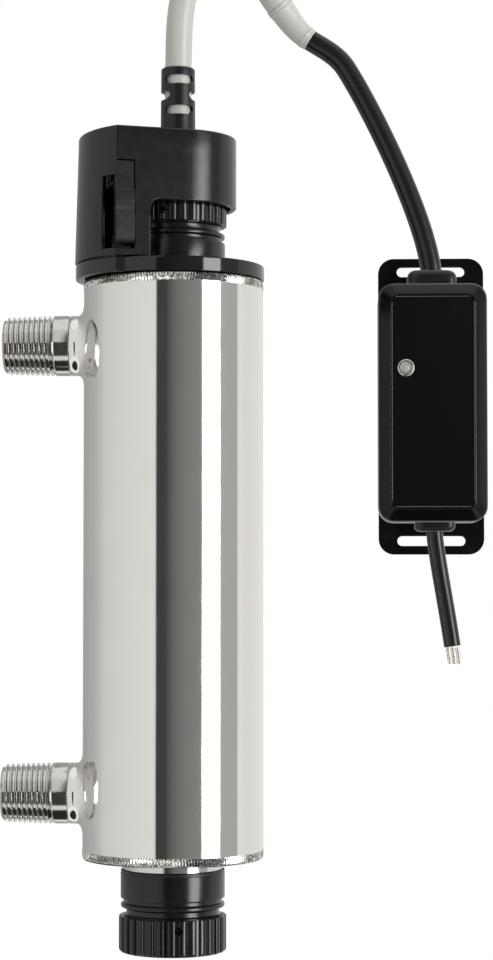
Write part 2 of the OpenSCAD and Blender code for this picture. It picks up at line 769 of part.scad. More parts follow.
module power_cord_conductors() color("peru")
  for (s = [-1, 0, 1]) {
    start = power_end + [1.7 * s, 0, 0] + 0.4 * power_lean;
    cord([[start, start + 2 * power_lean, start + 4 * power_lean, start + 6 * power_lean]],
         0.75, 0.75, 2, 16);
  }

// ---------- the part ----------

chamber_tube();
upper_end_plate();
lower_end_plate();
inlet_nipple();
outlet_nipple();
flange_ring();
upper_gland_body();
lower_gland_body();
lower_neck_gasket();
upper_oring();
lower_oring();
upper_thrust_washer();
lower_thrust_washer();
upper_gland_nut();
lower_gland_nut();
quartz_sleeve();
lamp_tube();
lamp_lower_cap();
lamp_base();
lamp_pins();
lamp_filaments();
lamp_return_wire();
head_housing();
socket_carrier();
carrier_screws();
lamp_socket();
socket_contacts();
latch_lever();
latch_pin();
latch_spring();
strain_relief();
lamp_cord();
cord_wires();
cord_splice();
output_cord();
driver_base();
driver_cover();
driver_panel();
cover_screws();
driver_board();
driver_transformer();
driver_capacitors();
driver_fuse();
driver_leads();
indicator_bezel();
indicator_lens();
output_grommet();
input_grommet();
power_cord();
power_cord_conductors();
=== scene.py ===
"""UV clarifier: its looks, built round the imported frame.

Lengths are millimetres in the part's own frame, with the origin on the chamber's axis, half way up,
the ports towards -X and the driver's back towards +Y. MM turns them into Blender's metres.
"""

import json
from math import asin, atan2, ceil, copysign, cos, exp, hypot, pi, radians, sin, sqrt, tan

import bmesh
import bpy
from mathutils import Matrix, Vector

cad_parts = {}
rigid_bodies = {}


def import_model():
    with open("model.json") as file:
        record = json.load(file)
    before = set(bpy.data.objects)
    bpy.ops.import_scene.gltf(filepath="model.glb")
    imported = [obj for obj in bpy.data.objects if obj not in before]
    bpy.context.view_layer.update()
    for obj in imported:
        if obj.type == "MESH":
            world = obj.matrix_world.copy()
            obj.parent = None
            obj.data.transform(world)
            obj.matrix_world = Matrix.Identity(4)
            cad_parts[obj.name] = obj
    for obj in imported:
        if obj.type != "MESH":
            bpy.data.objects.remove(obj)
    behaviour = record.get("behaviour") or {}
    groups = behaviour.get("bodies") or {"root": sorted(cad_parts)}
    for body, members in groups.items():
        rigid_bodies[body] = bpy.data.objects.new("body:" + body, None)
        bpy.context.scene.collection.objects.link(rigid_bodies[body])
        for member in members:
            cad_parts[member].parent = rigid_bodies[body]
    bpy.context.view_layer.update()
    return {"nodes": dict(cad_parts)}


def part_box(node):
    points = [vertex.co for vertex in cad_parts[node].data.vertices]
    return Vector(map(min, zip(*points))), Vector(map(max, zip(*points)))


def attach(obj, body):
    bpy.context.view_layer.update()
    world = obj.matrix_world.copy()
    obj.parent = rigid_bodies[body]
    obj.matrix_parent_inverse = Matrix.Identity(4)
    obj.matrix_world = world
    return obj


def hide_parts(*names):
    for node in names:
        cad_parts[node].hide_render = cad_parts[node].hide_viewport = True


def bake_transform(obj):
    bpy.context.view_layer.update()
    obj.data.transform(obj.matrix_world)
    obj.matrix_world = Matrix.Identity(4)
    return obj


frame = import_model()

MM = 0.001
TURN = 2 * pi


def low(node):
    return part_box(node)[0] / MM


def high(node):
    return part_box(node)[1] / MM


def middle(node):
    return (low(node) + high(node)) / 2


def half(node):
    """Half the node's size along each axis."""
    return (high(node) - low(node)) / 2


# ---------- sizes from the frame ----------

# Heights named *_H are above the outer face of an end plate
NECK_H = 13.5
FLANGE_FOOT_H = 0.4
FLANGE_H = 5.5
LIP_H = 5.0
SHOULDER_H = 4.0
WEEP_H = 23.4
PLATE_Z = high("upper_end_plate").z - NECK_H

TUBE_R = high("chamber_tube").x
TUBE_INNER_R = TUBE_R - 1.65
PLATE_BORE_R = 12.0

PORT_Z = middle("outlet_nipple").z
PORT_R = half("outlet_nipple").z
PORT_BORE_R = 7.9
PORT_END = -low("outlet_nipple").x
SEAM_AT = 36.35
THREAD_PITCH = 1.814
THREAD_START = PORT_END - 10 * THREAD_PITCH - 0.16

HEAD_TURN = radians(19)
HEAD_R = 22.3
HEAD_LONG_R = 35.0
HEAD_WALL = 2.2
HEAD_FOOT_H = low("head_housing").z - PLATE_Z
HEAD_TOP_H = high("head_housing").z - PLATE_Z
CEILING_H = HEAD_TOP_H - 2.5
WINDOW_X = -14.0
WINDOW_H = 26.0
WINDOW_CORNER = 3.3
SLOT_FOOT_H = 8.7
SLOT_TOP_H = 39.2
SLOT_SIDE_H = 33.7
SLOT_X0, SLOT_X1 = -26.6, -19.8
SLOT_FRONT_Y = -18.2
SLOT_SIDE_X, SLOT_SIDE_Y = -26.3, -17.1
LEVER_X0, LEVER_X1 = -26.8, -20.0
PIN_Y, PIN_H = -17.2, 31.5

NUT_R = half("lower_gland_nut").x
NUT_FOOT_H = low("upper_gland_nut").z - PLATE_Z
NUT_TOP_H = high("upper_gland_nut").z - PLATE_Z
COLLAR_R = half("lower_gland_body").x
GLAND_TOP_H = high("upper_gland_body").z - PLATE_Z

BOX_LOW = low("driver_cover")
BOX_HIGH = high("driver_cover")
BOX_X, _, BOX_Z = (BOX_LOW + BOX_HIGH) / 2
BOX_FRONT = BOX_LOW.y
BOX_BACK = BOX_HIGH.y


# ---------- outlines and shells ----------

def angles(count):
    return [TURN * i / count for i in range(count)]


def disc(radius, columns, x=0.0, y=0.0):
    """Outline of a circle round (x, y)."""
    return [(x + radius * cos(a), y + radius * sin(a)) for a in angles(columns)]


def round_over(radius, steps, degrees=90):
    """How far in and how far up each point of a rounded edge is, from its foot on."""
    turns = [radians(degrees * k / steps) for k in range(steps + 1)]
    return [(radius * (1 - cos(a)), radius * sin(a)) for a in turns]


def soften(corners, steps=4):
    """Closed outline through corners (x, y, radius), each rounded by its radius."""
    outline = []
    for k, (x, y, radius) in enumerate(corners):
        here = Vector((x, y))
        if radius == 0:
            outline.append((x, y))
            continue
        before = (Vector(corners[k - 1][:2]) - here).normalized()
        after = (Vector(corners[(k + 1) % len(corners)][:2]) - here).normalized()
        half = before.angle(after) / 2
        centre = here + (before + after).normalized() * radius / sin(half)
        first = here + before * radius / tan(half) - centre
        last = here + after * radius / tan(half) - centre
        sweep = atan2(first.x * last.y - first.y * last.x, first.dot(last))
        for s in range(steps + 1):
            turn = Matrix.Rotation(sweep * s / steps, 2)
            outline.append(tuple(centre + turn @ first))
    return outline


def rounded_rectangle(width, height, radius):
    w, h = width / 2, height / 2
    return soften([(w, -h, radius), (w, h, radius), (-w, h, radius), (-w, -h, radius)], 6)


def cubic(p, t):
    """Point at t, from 0 to 1, of the cubic through four control points."""
    u = 1 - t
    return u ** 3 * p[0] + 3 * u * u * t * p[1] + 3 * u * t * t * p[2] + t ** 3 * p[3]


def loft(rings, wrap=False, cap=True):
    """Closed shell over rings of equal length. wrap joins the last ring back to the first."""
    n = len(rings[0])
    points = [tuple(p) for ring in rings for p in ring]
    steps = [(k, k + 1) for k in range(len(rings) - 1)]
    if wrap:
        steps.append((len(rings) - 1, 0))
    faces = []
    for a, b in steps:
        for i in range(n):
            j = (i + 1) % n
            faces.append((a * n + i, a * n + j, b * n + j, b * n + i))
    if cap and not wrap:
        faces.append(tuple(range(n)))
        faces.append(tuple(range(len(points) - n, len(points))))
    return points, faces


def lathe(outline, columns=96, closed=True):
    """Shell turned about Z from (radius, height) points; closed joins the last one to the first."""
    rings = [[(x, y, z) for x, y in disc(r, columns)] for r, z in outline]
    return loft(rings, wrap=closed, cap=False)


def ring_at(h, bearings, radii):
    return [(r * cos(a), r * sin(a), h) for a, r in zip(bearings, radii)]


def prism(outline, z0, z1):
    return loft([[(x, y, z) for x, y in outline] for z in (z0, z1)])


def moved(shell, place):
    """The shell with place(x, y, z) applied to each of its points."""
    points, faces = shell
    return [place(*p) for p in points], faces


def at_end(end):
    """Place for what is drawn upwards from an end plate's face: end is 1 at the top, -1 below."""
    return lambda x, y, z: (x, y, end * (PLATE_Z + z))


def at_head(x, y, z):
    c, s = cos(HEAD_TURN), sin(HEAD_TURN)
    return (c * x - s * y, s * x + c * y, PLATE_Z + z)


def at_port(side):
    """Place for what is drawn about Z, outwards along a port."""
    return lambda x, y, z: (-z, y, side * PORT_Z + x)


# ---------- pieces ----------


def piece(name, shells, material, body=None, stands_for=(), place=None, sharp=38):
    """One visible piece made of closed shells, riding on a CAD body."""
    mesh_maker = bmesh.new()
    for points, faces in [moved(shell, place) for shell in shells] if place else shells:
        corners = [mesh_maker.verts.new(Vector(p) * MM) for p in points]
        for face in faces:
            mesh_maker.faces.new([corners[i] for i in face])
    bmesh.ops.remove_doubles(mesh_maker, verts=mesh_maker.verts, dist=0.0002 * MM)
    bmesh.ops.recalc_face_normals(mesh_maker, faces=mesh_maker.faces)
    mesh = bpy.data.meshes.new(name)
    mesh_maker.to_mesh(mesh)
    mesh_maker.free()
    mesh.shade_smooth()
    mesh.set_sharp_from_angle(angle=radians(sharp))
    made = bpy.data.objects.new(name, mesh)
    bpy.context.scene.collection.objects.link(made)
    mesh.materials.append(MATERIALS[material])
    if body:
        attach(made, body)
    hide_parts(*stands_for)
    return made


def bevel(target, width, segments=2, angle=38, clamp=True):
    edges = target.modifiers.new("edges", "BEVEL")
    edges.width = width * MM
    edges.segments = segments
    edges.limit_method = "ANGLE"
    edges.angle_limit = radians(angle)
    edges.harden_normals = True
    edges.use_clamp_overlap = clamp


def cut(target, shells, material):
    """Takes closed shells out of a piece, for good."""
    cutter = piece("cutter", shells, material)
    tool = target.modifiers.new("cut", "BOOLEAN")
    tool.operation = "DIFFERENCE"
    tool.solver = "EXACT"
    tool.object = cutter
    bpy.context.view_layer.update()
    result = bpy.data.meshes.new_from_object(target.evaluated_get(bpy.context.evaluated_depsgraph_get()))
    target.modifiers.remove(tool)
    target.data = result
    bpy.data.objects.remove(cutter)
    result.set_sharp_from_angle(angle=radians(38))


# ---------- materials ----------

def feed(tree, node, inputs):
    """Gives a node its inputs: values, or outputs of other nodes to link."""
    for key, value in inputs.items():
        if hasattr(value, "is_output"):
            tree.links.new(value, node.inputs[key])
        else:
            node.inputs[key].default_value = value


def add_node(tree, kind, inputs=None, **settings):
    made = tree.nodes.new("ShaderNode" + kind)
    for key, value in settings.items():
        setattr(made, key, value)
    feed(tree, made, inputs or {})
    return made


def map_range(tree, value, start, end, first=0.0, last=1.0, **settings):
    """Maps value, from start to end, on to first to last."""
    inputs = {"Value": value, "From Min": start, "From Max": end, "To Min": first, "To Max": last}
    return add_node(tree, "MapRange", inputs, **settings).outputs["Result"]


class Finish:
    """A procedural material: its node tree, and short ways to add what a finish needs."""

    def __init__(self, name):
        self.material = bpy.data.materials.new(name)
        self.material.use_nodes = True
        self.tree = self.material.node_tree
        self.place = self.node("TexCoord").outputs["Object"]

    def node(self, kind, inputs=None, **settings):
        return add_node(self.tree, kind, inputs, **settings)

    def give(self, **inputs):
        """Feeds the surface; an underscore stands for a space."""
        surface = self.tree.nodes["Principled BSDF"]
        feed(self.tree, surface, {key.replace("_", " "): value for key, value in inputs.items()})

    def stretched(self, z):
        return self.node("Mapping", {"Vector": self.place, "Scale": (1, 1, z)}).outputs["Vector"]

    def noise(self, size_mm, detail=3.0, vector=None):
        """Noise from 0 to 1 whose features are about size_mm across."""
        inputs = {"Vector": vector or self.place, "Scale": 1 / (size_mm * MM), "Detail": detail,
                  "Roughness": 0.55}
        return self.node("TexNoise", inputs).outputs["Fac"]

    def spread(self, value, first, last, start=0.3, end=0.7):
        """Maps value, from start to end, on to first to last."""
        return map_range(self.tree, value, start, end, first, last)

    def between(self, colour_a, colour_b, share):
        """Mix of two colours, each a tone or another node's output."""
        a, b = (c if hasattr(c, "is_output") else (*c, 1) for c in (colour_a, colour_b))
        return self.node("Mix", {0: share, 6: a, 7: b}, data_type="RGBA").outputs[2]

    def bump(self, height, depth_mm, under=None):
        inputs = {"Height": height, "Distance": depth_mm * MM}
        if under:
            inputs["Normal"] = under
        return self.node("Bump", inputs).outputs["Normal"]


def shade(tone, factor):
    return tuple(factor * c for c in tone)


def rolled_steel(name, tone, rough):
    """Polished tube: fine streaks along Z, faint stains and a slow ripple."""
    f = Finish(name)
    streaks = f.noise(0.5, 4, f.stretched(0.02))
    stains = f.noise(14, 4)
    ripple = f.noise(22, 1, f.stretched(0.35))
    f.give(Base_Color=f.between(shade(tone, 0.93), tone, stains), Metallic=1.0,
           Roughness=f.spread(f.noise(9, 5), 0.7 * rough, 1.5 * rough),
           Normal=f.bump(ripple, 0.03, under=f.bump(streaks, 0.0006)))
    return f.material


def turned_steel(name, tone, rough):
    """Machined steel: faint stains and a fine, even grain."""
    f = Finish(name)
    f.give(Base_Color=f.between(shade(tone, 0.8), tone, f.noise(5, 4)), Metallic=1.0,
           Roughness=f.spread(f.noise(2.5, 5), 0.7 * rough, 1.5 * rough), Normal=f.bump(f.noise(0.35), 0.01))
    return f.material


def weld_metal():
    f = Finish("weld_metal")
    heat = f.spread(f.noise(0.8, 3), 0, 1, 0.36, 0.6)
    f.give(Base_Color=f.between((0.10, 0.095, 0.085), (0.80, 0.79, 0.77), heat), Metallic=1.0,
           Roughness=f.spread(f.noise(0.9, 3), 0.07, 0.22), Normal=f.bump(f.noise(0.5, 3), 0.02))
    return f.material


def plastic(name, tone, rough, grain_mm, grain_depth, gleam=0.5, wear=0.25, top_gleam=None):
    """Moulded plastic: fine grain, uneven gloss, faint flow marks and paler edges.

    top_gleam is the gleam of faces that look up, where it differs.
    """
    f = Finish(name)
    surface = f.node("NewGeometry").outputs
    if top_gleam is not None:
        facing = f.node("SeparateXYZ", {0: surface["Normal"]})
        gleam = f.spread(facing.outputs["Z"], gleam, top_gleam, 0.9, 0.98)
    pale = tuple(min(1.0, 2.2 * c + 0.015) for c in tone)
    flow = f.noise(18, 4, f.stretched(0.5))
    base = f.between(shade(tone, 0.85), shade(tone, 1.15), flow)
    worn = f.spread(surface["Pointiness"], 0, wear, 0.52, 0.6)
    grain = f.bump(f.noise(grain_mm, 2), grain_depth)
    f.give(Base_Color=f.between(base, pale, worn), Specular_IOR_Level=gleam,
           Roughness=f.spread(f.noise(4, 5), 0.85 * rough, 1.25 * rough),
           Normal=f.bump(f.noise(6, 2), 0.02, under=grain))
    return f.material


def glass(name, tone, rough=0.02, clear=1.0):
    f = Finish(name)
    f.give(Base_Color=f.between(tone, shade(tone, 0.97), f.noise(12, 3)), IOR=1.46,
           Transmission_Weight=clear, Roughness=f.spread(f.noise(6, 4), rough, rough + 0.03),
           Normal=f.bump(f.noise(10, 2), 0.01))
    return f.material


def metal(name, tone, rough):
    f = Finish(name)
    f.give(Base_Color=f.between(shade(tone, 0.82), tone, f.noise(3, 5)), Metallic=1.0,
           Roughness=f.spread(f.noise(1.5, 4), rough - 0.06, rough + 0.1),
           Normal=f.bump(f.noise(0.6, 3), 0.01))
    return f.material


def striped(name, tones, pitch_mm, rough):
    """Bands of two tones across X, such as copper turns or a set of coloured wires."""
    f = Finish(name)
    wave = f.node("TexWave", {"Vector": f.place, "Scale": 0.5 / (pitch_mm * MM), "Distortion": 0.4})
    f.give(Base_Color=f.between(tones[0], tones[1], wave.outputs["Fac"]),
           Roughness=f.spread(f.noise(2, 3), rough - 0.05, rough + 0.08),
           Normal=f.bump(wave.outputs["Fac"], 0.1))
    return f.material


def board_green():
    f = Finish("board_green")
    tracks = f.node("TexVoronoi", {"Vector": f.place, "Scale": 260}, feature="DISTANCE_TO_EDGE")
    share = f.spread(tracks.outputs["Distance"], 1, 0, 0.04, 0.07)
    f.give(Base_Color=f.between((0.005, 0.07, 0.025), (0.02, 0.16, 0.06), share), Roughness=0.35,
           Normal=f.bump(share, 0.03))
    return f.material


def pale_floor():
    f = Finish("pale_floor")
    f.give(Base_Color=f.between((0.84, 0.84, 0.83), (0.88, 0.88, 0.87), f.noise(60)), Roughness=0.6)
    return f.material


MATERIALS = {
    "tube": rolled_steel("tube_steel", (0.83, 0.82, 0.80), 0.05),
    "turned": turned_steel("turned_steel", (0.78, 0.77, 0.76), 0.09),
    "thread": turned_steel("threaded_steel", (0.70, 0.69, 0.67), 0.11),
    "weld": weld_metal(),
    "satin": plastic("satin_black", (0.0062, 0.0060, 0.0067), 0.19, 0.16, 0.008, gleam=0.45, top_gleam=0.03),
    "lever": plastic("lever_black", (0.0130, 0.0127, 0.0140), 0.26, 0.16, 0.008, gleam=0.42),
    "flange": plastic("flange_black", (0.008, 0.0078, 0.0085), 0.05, 0.3, 0.0015),
    "gloss": plastic("gloss_black", (0.006, 0.006, 0.0065), 0.13, 0.3, 0.004, gleam=0.45),
    "cover": plastic("cover_black", (0.004, 0.004, 0.0045), 0.15, 0.5, 0.012, gleam=0.22),
    "washer": plastic("washer_grey", (0.18, 0.18, 0.19), 0.5, 0.2, 0.01),
    "rubber": plastic("rubber_black", (0.0075, 0.0075, 0.008), 0.33, 0.2, 0.012, gleam=0.4),
    "white_cord": plastic("white_cord", (0.56, 0.555, 0.53), 0.36, 0.25, 0.008, wear=0.0),
    "black_cord": plastic("black_cord", (0.009, 0.0088, 0.009), 0.24, 0.3, 0.008, gleam=0.45, wear=0.0),
    "ceramic": plastic("ceramic_white", (0.75, 0.74, 0.70), 0.3, 0.3, 0.008, wear=0.1),
    "quartz": glass("quartz", (0.97, 0.99, 1.0)),
    "lens": glass("indicator_lens", (0.96, 0.96, 0.96), 0.15, 0.6),
    "brass": metal("pin_brass", (0.80, 0.58, 0.27), 0.25),
    "nickel": metal("nickel", (0.66, 0.63, 0.58), 0.3),
    "tungsten": metal("tungsten", (0.36, 0.35, 0.35), 0.45),
    "zinc": metal("zinc_steel", (0.70, 0.70, 0.69), 0.25),
    "wires": striped("wire_insulation", ((0.10, 0.16, 0.55), (0.50, 0.07, 0.05)), 3.0, 0.4),
    "copper": striped("copper_turns", ((0.55, 0.24, 0.10), (0.22, 0.09, 0.04)), 0.8, 0.35),
    "sleeve": plastic("capacitor_sleeve", (0.02, 0.03, 0.11), 0.3, 0.3, 0.01),
    "board": board_green(),
    "floor": pale_floor(),
}


# ---------- chamber ----------

TUBE_COLUMNS = 100
ROW = 1.625
PATCH = 12
TUBE_TOP = 98.7
BORE_GAP = 0.5


def square_walk():
    """Grid steps round the edge of a port's square patch."""
    span = range(-PATCH, PATCH)
    return ([(PATCH, k) for k in span] + [(-k, PATCH) for k in span]
            + [(-PATCH, -k) for k in span] + [(k, -PATCH) for k in span])


def walk_bearings():
    """Bearing from the port's axis of each step of the walk, on the tube's outer skin."""
    return [atan2(j * ROW, TUBE_R * sin(TURN * i / TUBE_COLUMNS)) for i, j in square_walk()]


def tube_point(radius, across, up):
    """Point of a skin of the tube that is `across` sideways from the ports' plane."""
    return (-sqrt(radius * radius - across * across), -across, up)


def patch_rings(radius, hole, count):
    """Rings on a skin of the tube from a patch's square edge in to a hole round the port's axis."""
    rings = []
    for k in range(count + 1):
        share = 1 - (k / count) ** 0.8
        ring = []
        for i, j in square_walk():
            across, up = radius * sin(TURN * i / TUBE_COLUMNS), j * ROW
            bearing = atan2(up, across)
            r = hole(bearing)
            u = share * across + (1 - share) * r * cos(bearing)
            v = share * up + (1 - share) * r * sin(bearing)
            ring.append(tube_point(radius, u, v))
        rings.append(ring)
    return rings


def flare_foot(bearing):
    """Distance from the port's axis at which the drawn flare leaves the tube."""
    return 15.7 + 1.6 * cos(bearing) ** 2


def flare_rings():
    """Rings from the flare's foot out to the port's neck: a cubic in each direction."""
    steps, pull = 9, 0.7
    neck = Vector((PORT_R, 34.2))
    rings = []
    for k in range(1, steps + 1):
        t = k / steps
        ring = []
        for bearing in walk_bearings():
            foot_r = flare_foot(bearing)
            u = foot_r * cos(bearing)
            foot = Vector((foot_r, sqrt(TUBE_R ** 2 - u * u)))
            slope = -u * cos(bearing) / foot.y
            corner = Vector((PORT_R, foot.y - slope * (foot_r - PORT_R)))
            r, out = cubic((foot, foot.lerp(corner, pull), neck.lerp(corner, pull), neck), t)
            ring.append((-out, -r * cos(bearing), r * sin(bearing)))
        rings.append(ring)
    return rings


def neck_ring(radius, out):
    return [(-out, -radius * cos(b), radius * sin(b)) for b in walk_bearings()]


def port_shell(side):
    """The part of the chamber between a port's patch outside and its patch inside."""
    bore = PORT_BORE_R + BORE_GAP
    outside = patch_rings(TUBE_R, flare_foot, 5) + flare_rings()
    edge = [neck_ring(PORT_R, SEAM_AT - 0.3), neck_ring(PORT_R - 0.25, SEAM_AT - 0.05),
            neck_ring(bore, SEAM_AT - 0.05)]
    inside = patch_rings(TUBE_INNER_R, lambda bearing: bore, 4)[::-1]
    shell = loft(outside + edge + inside, cap=False)
    return moved(shell, lambda x, y, z: (x, y, z + side * PORT_Z))


def tube_rows():
    near = [PORT_Z + ROW * k for k in range(-PATCH, PATCH + 1)]
    between_ports = [near[0] * (k / 7 - 1) for k in range(1, 14)]
    return [-TUBE_TOP] + [-z for z in near[::-1]] + between_ports + near + [TUBE_TOP]


def tube_skins():
    """Outer and inner skin of the tube, without the two patches round the ports."""
    rows = tube_rows()
    n = TUBE_COLUMNS
    points = []
    for radius in (TUBE_R, TUBE_INNER_R):
        for z in rows:
            points += [(-radius * cos(a), -radius * sin(a), z) for a in angles(n)]
    faces = []
    inner = n * len(rows)
    for j in range(len(rows) - 1):
        by_port = abs(abs(rows[j] + rows[j + 1]) / 2 - PORT_Z) < PATCH * ROW
        for i in range(n):
            if by_port and (i < PATCH or i >= n - PATCH):
                continue
            a, b = j * n + i, j * n + (i + 1) % n
            faces.append((a, b, b + n, a + n))
            faces.append((inner + a, inner + b, inner + b + n, inner + a + n))
    for row in (0, (len(rows) - 1) * n):
        for i in range(n):
            a, b = row + i, row + (i + 1) % n
            faces.append((a, b, inner + b, inner + a))
    return points, faces


def true_round_normals(made):
    """Gives the tube's round skin its exact normals, for straight reflections."""
    mesh = made.data
    normals = [n.vector.copy() for n in mesh.vertex_normals]
    for vertex in mesh.vertices:
        r = hypot(vertex.co.x, vertex.co.y)
        if abs(r - TUBE_R * MM) < 0.001 * MM:
            normals[vertex.index] = Vector((vertex.co.x / r, vertex.co.y / r, 0))
    mesh.normals_split_custom_set_from_vertices(normals)


def chamber():
    shells = [tube_skins(), port_shell(1), port_shell(-1)]
    true_round_normals(piece("chamber_shell", shells, "tube", "root", ["chamber_tube"]))


def rim_weld():
    """Weld bead that rolls over a rim of the tube, laid down in overlapping crescents."""
    ripples, per_ripple, section = 190, 8, 20
    mid_r, mid_h, half_width, half_height, ripple = 30.2, -1.7, 1.55, 1.85, 0.2
    rings = []
    for s, a in enumerate(angles(ripples * per_ripple)):
        ring = []
        for lean in angles(section):
            across, up = squarish(cos(lean)), squarish(sin(lean))
            phase = s / per_ripple + 0.9 * abs(up - 0.2)
            swell = ripple * (2 * (phase % 1) ** 0.6 - 1)
            out = min(mid_r + (half_width + swell) * across, TUBE_R + 0.2)
            ring.append((out * cos(a), out * sin(a), mid_h + (half_height + swell) * up))
        rings.append(ring)
    return loft(rings, wrap=True)


def squarish(wave):
    """Turns the sine or cosine of an angle into that of a rounded square's outline."""
    return copysign(abs(wave) ** 0.6, wave)


def threaded(start, end, pitch, crest, depth, columns, rest, run_out=1.0):
    """Shell with a helical thread outside, from height start to end, closed by the outline rest.

    crest(h) is the crest's radius at height h. rest holds (radius, height) points that lead from
    the thread's end, round through the bore, back to the thread's start.
    """
    per_turn = 12
    form = [1, 1, 0.62, 0.22, 0, 0, 0, 0.22, 0.62, 1, 1, 1]
    turns = ceil((end - start) / pitch) + 2
    rows = turns * per_turn + 1
    points = []
    for i, a in enumerate(angles(columns)):
        for j in range(rows):
            h = start - pitch + (j / per_turn + i / columns) * pitch
            h = min(max(h, start), end)
            fade = min(1, (h - start) / (run_out * pitch))
            cut_depth = depth * form[j % per_turn] * fade
            cut_depth = max(cut_depth, depth * (1 - (end - h) / (0.6 * pitch)))
            r = crest(h) - min(depth, cut_depth)
            points.append((r * cos(a), r * sin(a), h))
    faces = []
    for i in range(columns):
        shift = per_turn if i == columns - 1 else 0
        k = (i + 1) % columns
        for j in range(rows - 1 - shift):
            faces.append((i * rows + j, k * rows + j + shift, k * rows + j + 1 + shift, i * rows + j + 1))
    ends = [(crest(end) - depth, end)] + rest + [(crest(start), start)]
    return (points, faces), lathe(ends, columns, closed=False)


def nipple(name, side):
    """Pipe stub with a tapered pipe thread, welded to the port's neck."""
    def crest(h):
        return PORT_R - (h - THREAD_START) / 32

    rest = [(PORT_BORE_R + 0.5, PORT_END), (PORT_BORE_R, PORT_END - 0.5), (PORT_BORE_R, SEAM_AT),
            (PORT_R - 0.3, SEAM_AT), (PORT_R, SEAM_AT + 0.25)]
    shells = threaded(THREAD_START - 0.4, PORT_END, THREAD_PITCH, crest, 1.12, 72, rest)
    piece("threaded_" + name, shells, "thread", "root", [name], at_port(side), sharp=50)


def end_plate(name, end):
    """Disc with a raised seat, a shoulder and a neck, welded into an end of the tube."""
    rim_r, seat_r, shoulder_r, neck_r = TUBE_INNER_R - 0.05, 26, 17.5, 15.2
    outline = soften([(PLATE_BORE_R, -3, 0.3), (rim_r, -3, 0.2), (rim_r, 0, 0.2), (seat_r, 0, 0),
                      (seat_r, FLANGE_FOOT_H, 0.12), (shoulder_r, FLANGE_FOOT_H, 0.3),
                      (shoulder_r, SHOULDER_H, 0.35), (neck_r, SHOULDER_H, 0.2), (neck_r, NECK_H, 0.6),
                      (PLATE_BORE_R, NECK_H, 0.3)], 3)
    piece(name + "_turned", [lathe(outline, 128)], "turned", "root", [name], at_end(end))


# ---------- glands ----------

def flange():
    """Ring with a lug under the head's long end, its catch post and its stepped bore."""
    lug_r, round_r = HEAD_LONG_R - 0.3, TUBE_R + 0.45
    corners = [pi + s * asin(HEAD_R / r) for s in (-1, 1) for r in (round_r, lug_r)]
    bearings = sorted(angles(120) + corners)

    def reach(a):
        side = abs(sin(a))
        if cos(a) > 0 or side == 0:
            return lug_r if cos(a) < 0 else round_r
        return max(round_r, min(lug_r, HEAD_R / side))

    skin = [(0.5, FLANGE_FOOT_H), (0.12, FLANGE_FOOT_H + 0.14), (0, FLANGE_FOOT_H + 0.5),
            (0, FLANGE_FOOT_H + 0.55), (0, FLANGE_H - 0.65), (0, FLANGE_H - 0.6), (0.18, FLANGE_H - 0.18),
            (0.6, FLANGE_H)]
    rings = [ring_at(h, bearings, [reach(a) - inset for a in bearings]) for inset, h in skin]
    bore = soften([(18.5, FLANGE_H, 0.3), (18.5, LIP_H, 0), (15.45, LIP_H, 0), (15.45, SHOULDER_H, 0),
                   (17.7, SHOULDER_H, 0), (17.7, FLANGE_FOOT_H, 0)], 2)
    rings += [ring_at(h, bearings, [r] * len(bearings)) for r, h in bore]
    piece("flange_plate", [loft(rings, wrap=True)], "flange", "root", ["flange_ring"], at_head)
    post_x0, post_x1, top = -25.5, -20.6, 9.5
    hook = [(-20, FLANGE_H - 0.5), (-18.6, FLANGE_H - 0.5), (-18.6, top - 1.1), (-17.5, top - 1.1),
            (-17.5, top), (-20, top)]
    catch = piece("flange_catch", [prism(hook, post_x0, post_x1)], "satin", "root",
                  place=lambda y, h, x: at_head(x, y, h))
    bevel(catch, 0.25)


def gland_body(name, end):
    """Collar, groove, ridge and waist of a gland body, with a helical thread above them."""
    thread_foot, thread_r, root_depth = NUT_FOOT_H - 0.4, 17.15, 0.95
    bore = [(14.6, GLAND_TOP_H), (14.3, GLAND_TOP_H - 0.3), (14.3, 21.5), (11.8, 21.5), (11.8, NECK_H + 0.2),
            (15.25, NECK_H + 0.2), (15.25, LIP_H)]
    outside = soften([(14.9, 3, 0), (COLLAR_R, LIP_H, 0.35), (COLLAR_R, 13.9, 0.55), (17.2, 13.9, 0.15),
                      (17.2, 15.25, 0.3), (18.2, 15.5, 0.55), (18.2, 16.85, 0.55), (16.3, 17.35, 0.4),
                      (16.3, 19.2, 0.3), (thread_r, thread_foot, 0)], 4)[1:-1]
    shells = threaded(thread_foot, GLAND_TOP_H, 3.0, lambda h: thread_r, root_depth, 96, bore + outside, 0.5)
    piece(name + "_moulded", shells, "satin", "root", [name], at_end(end))


def nut_radius(radius, share):
    """Radius of a nut's skin at a share of the way from one groove's edge to the next groove's."""
    depth, width, flank, crown = 0.85, 0.40, 0.10, 0.22
    dip = max(0.0, min(1.0, share / flank, (width - share) / flank))
    over_rib = max(0.0, (share - width) / (1 - width))
    rib = NUT_R - crown * (2 * over_rib - 1) ** 2
    return min(radius, rib - (depth - crown) * dip * dip * (3 - 2 * dip))


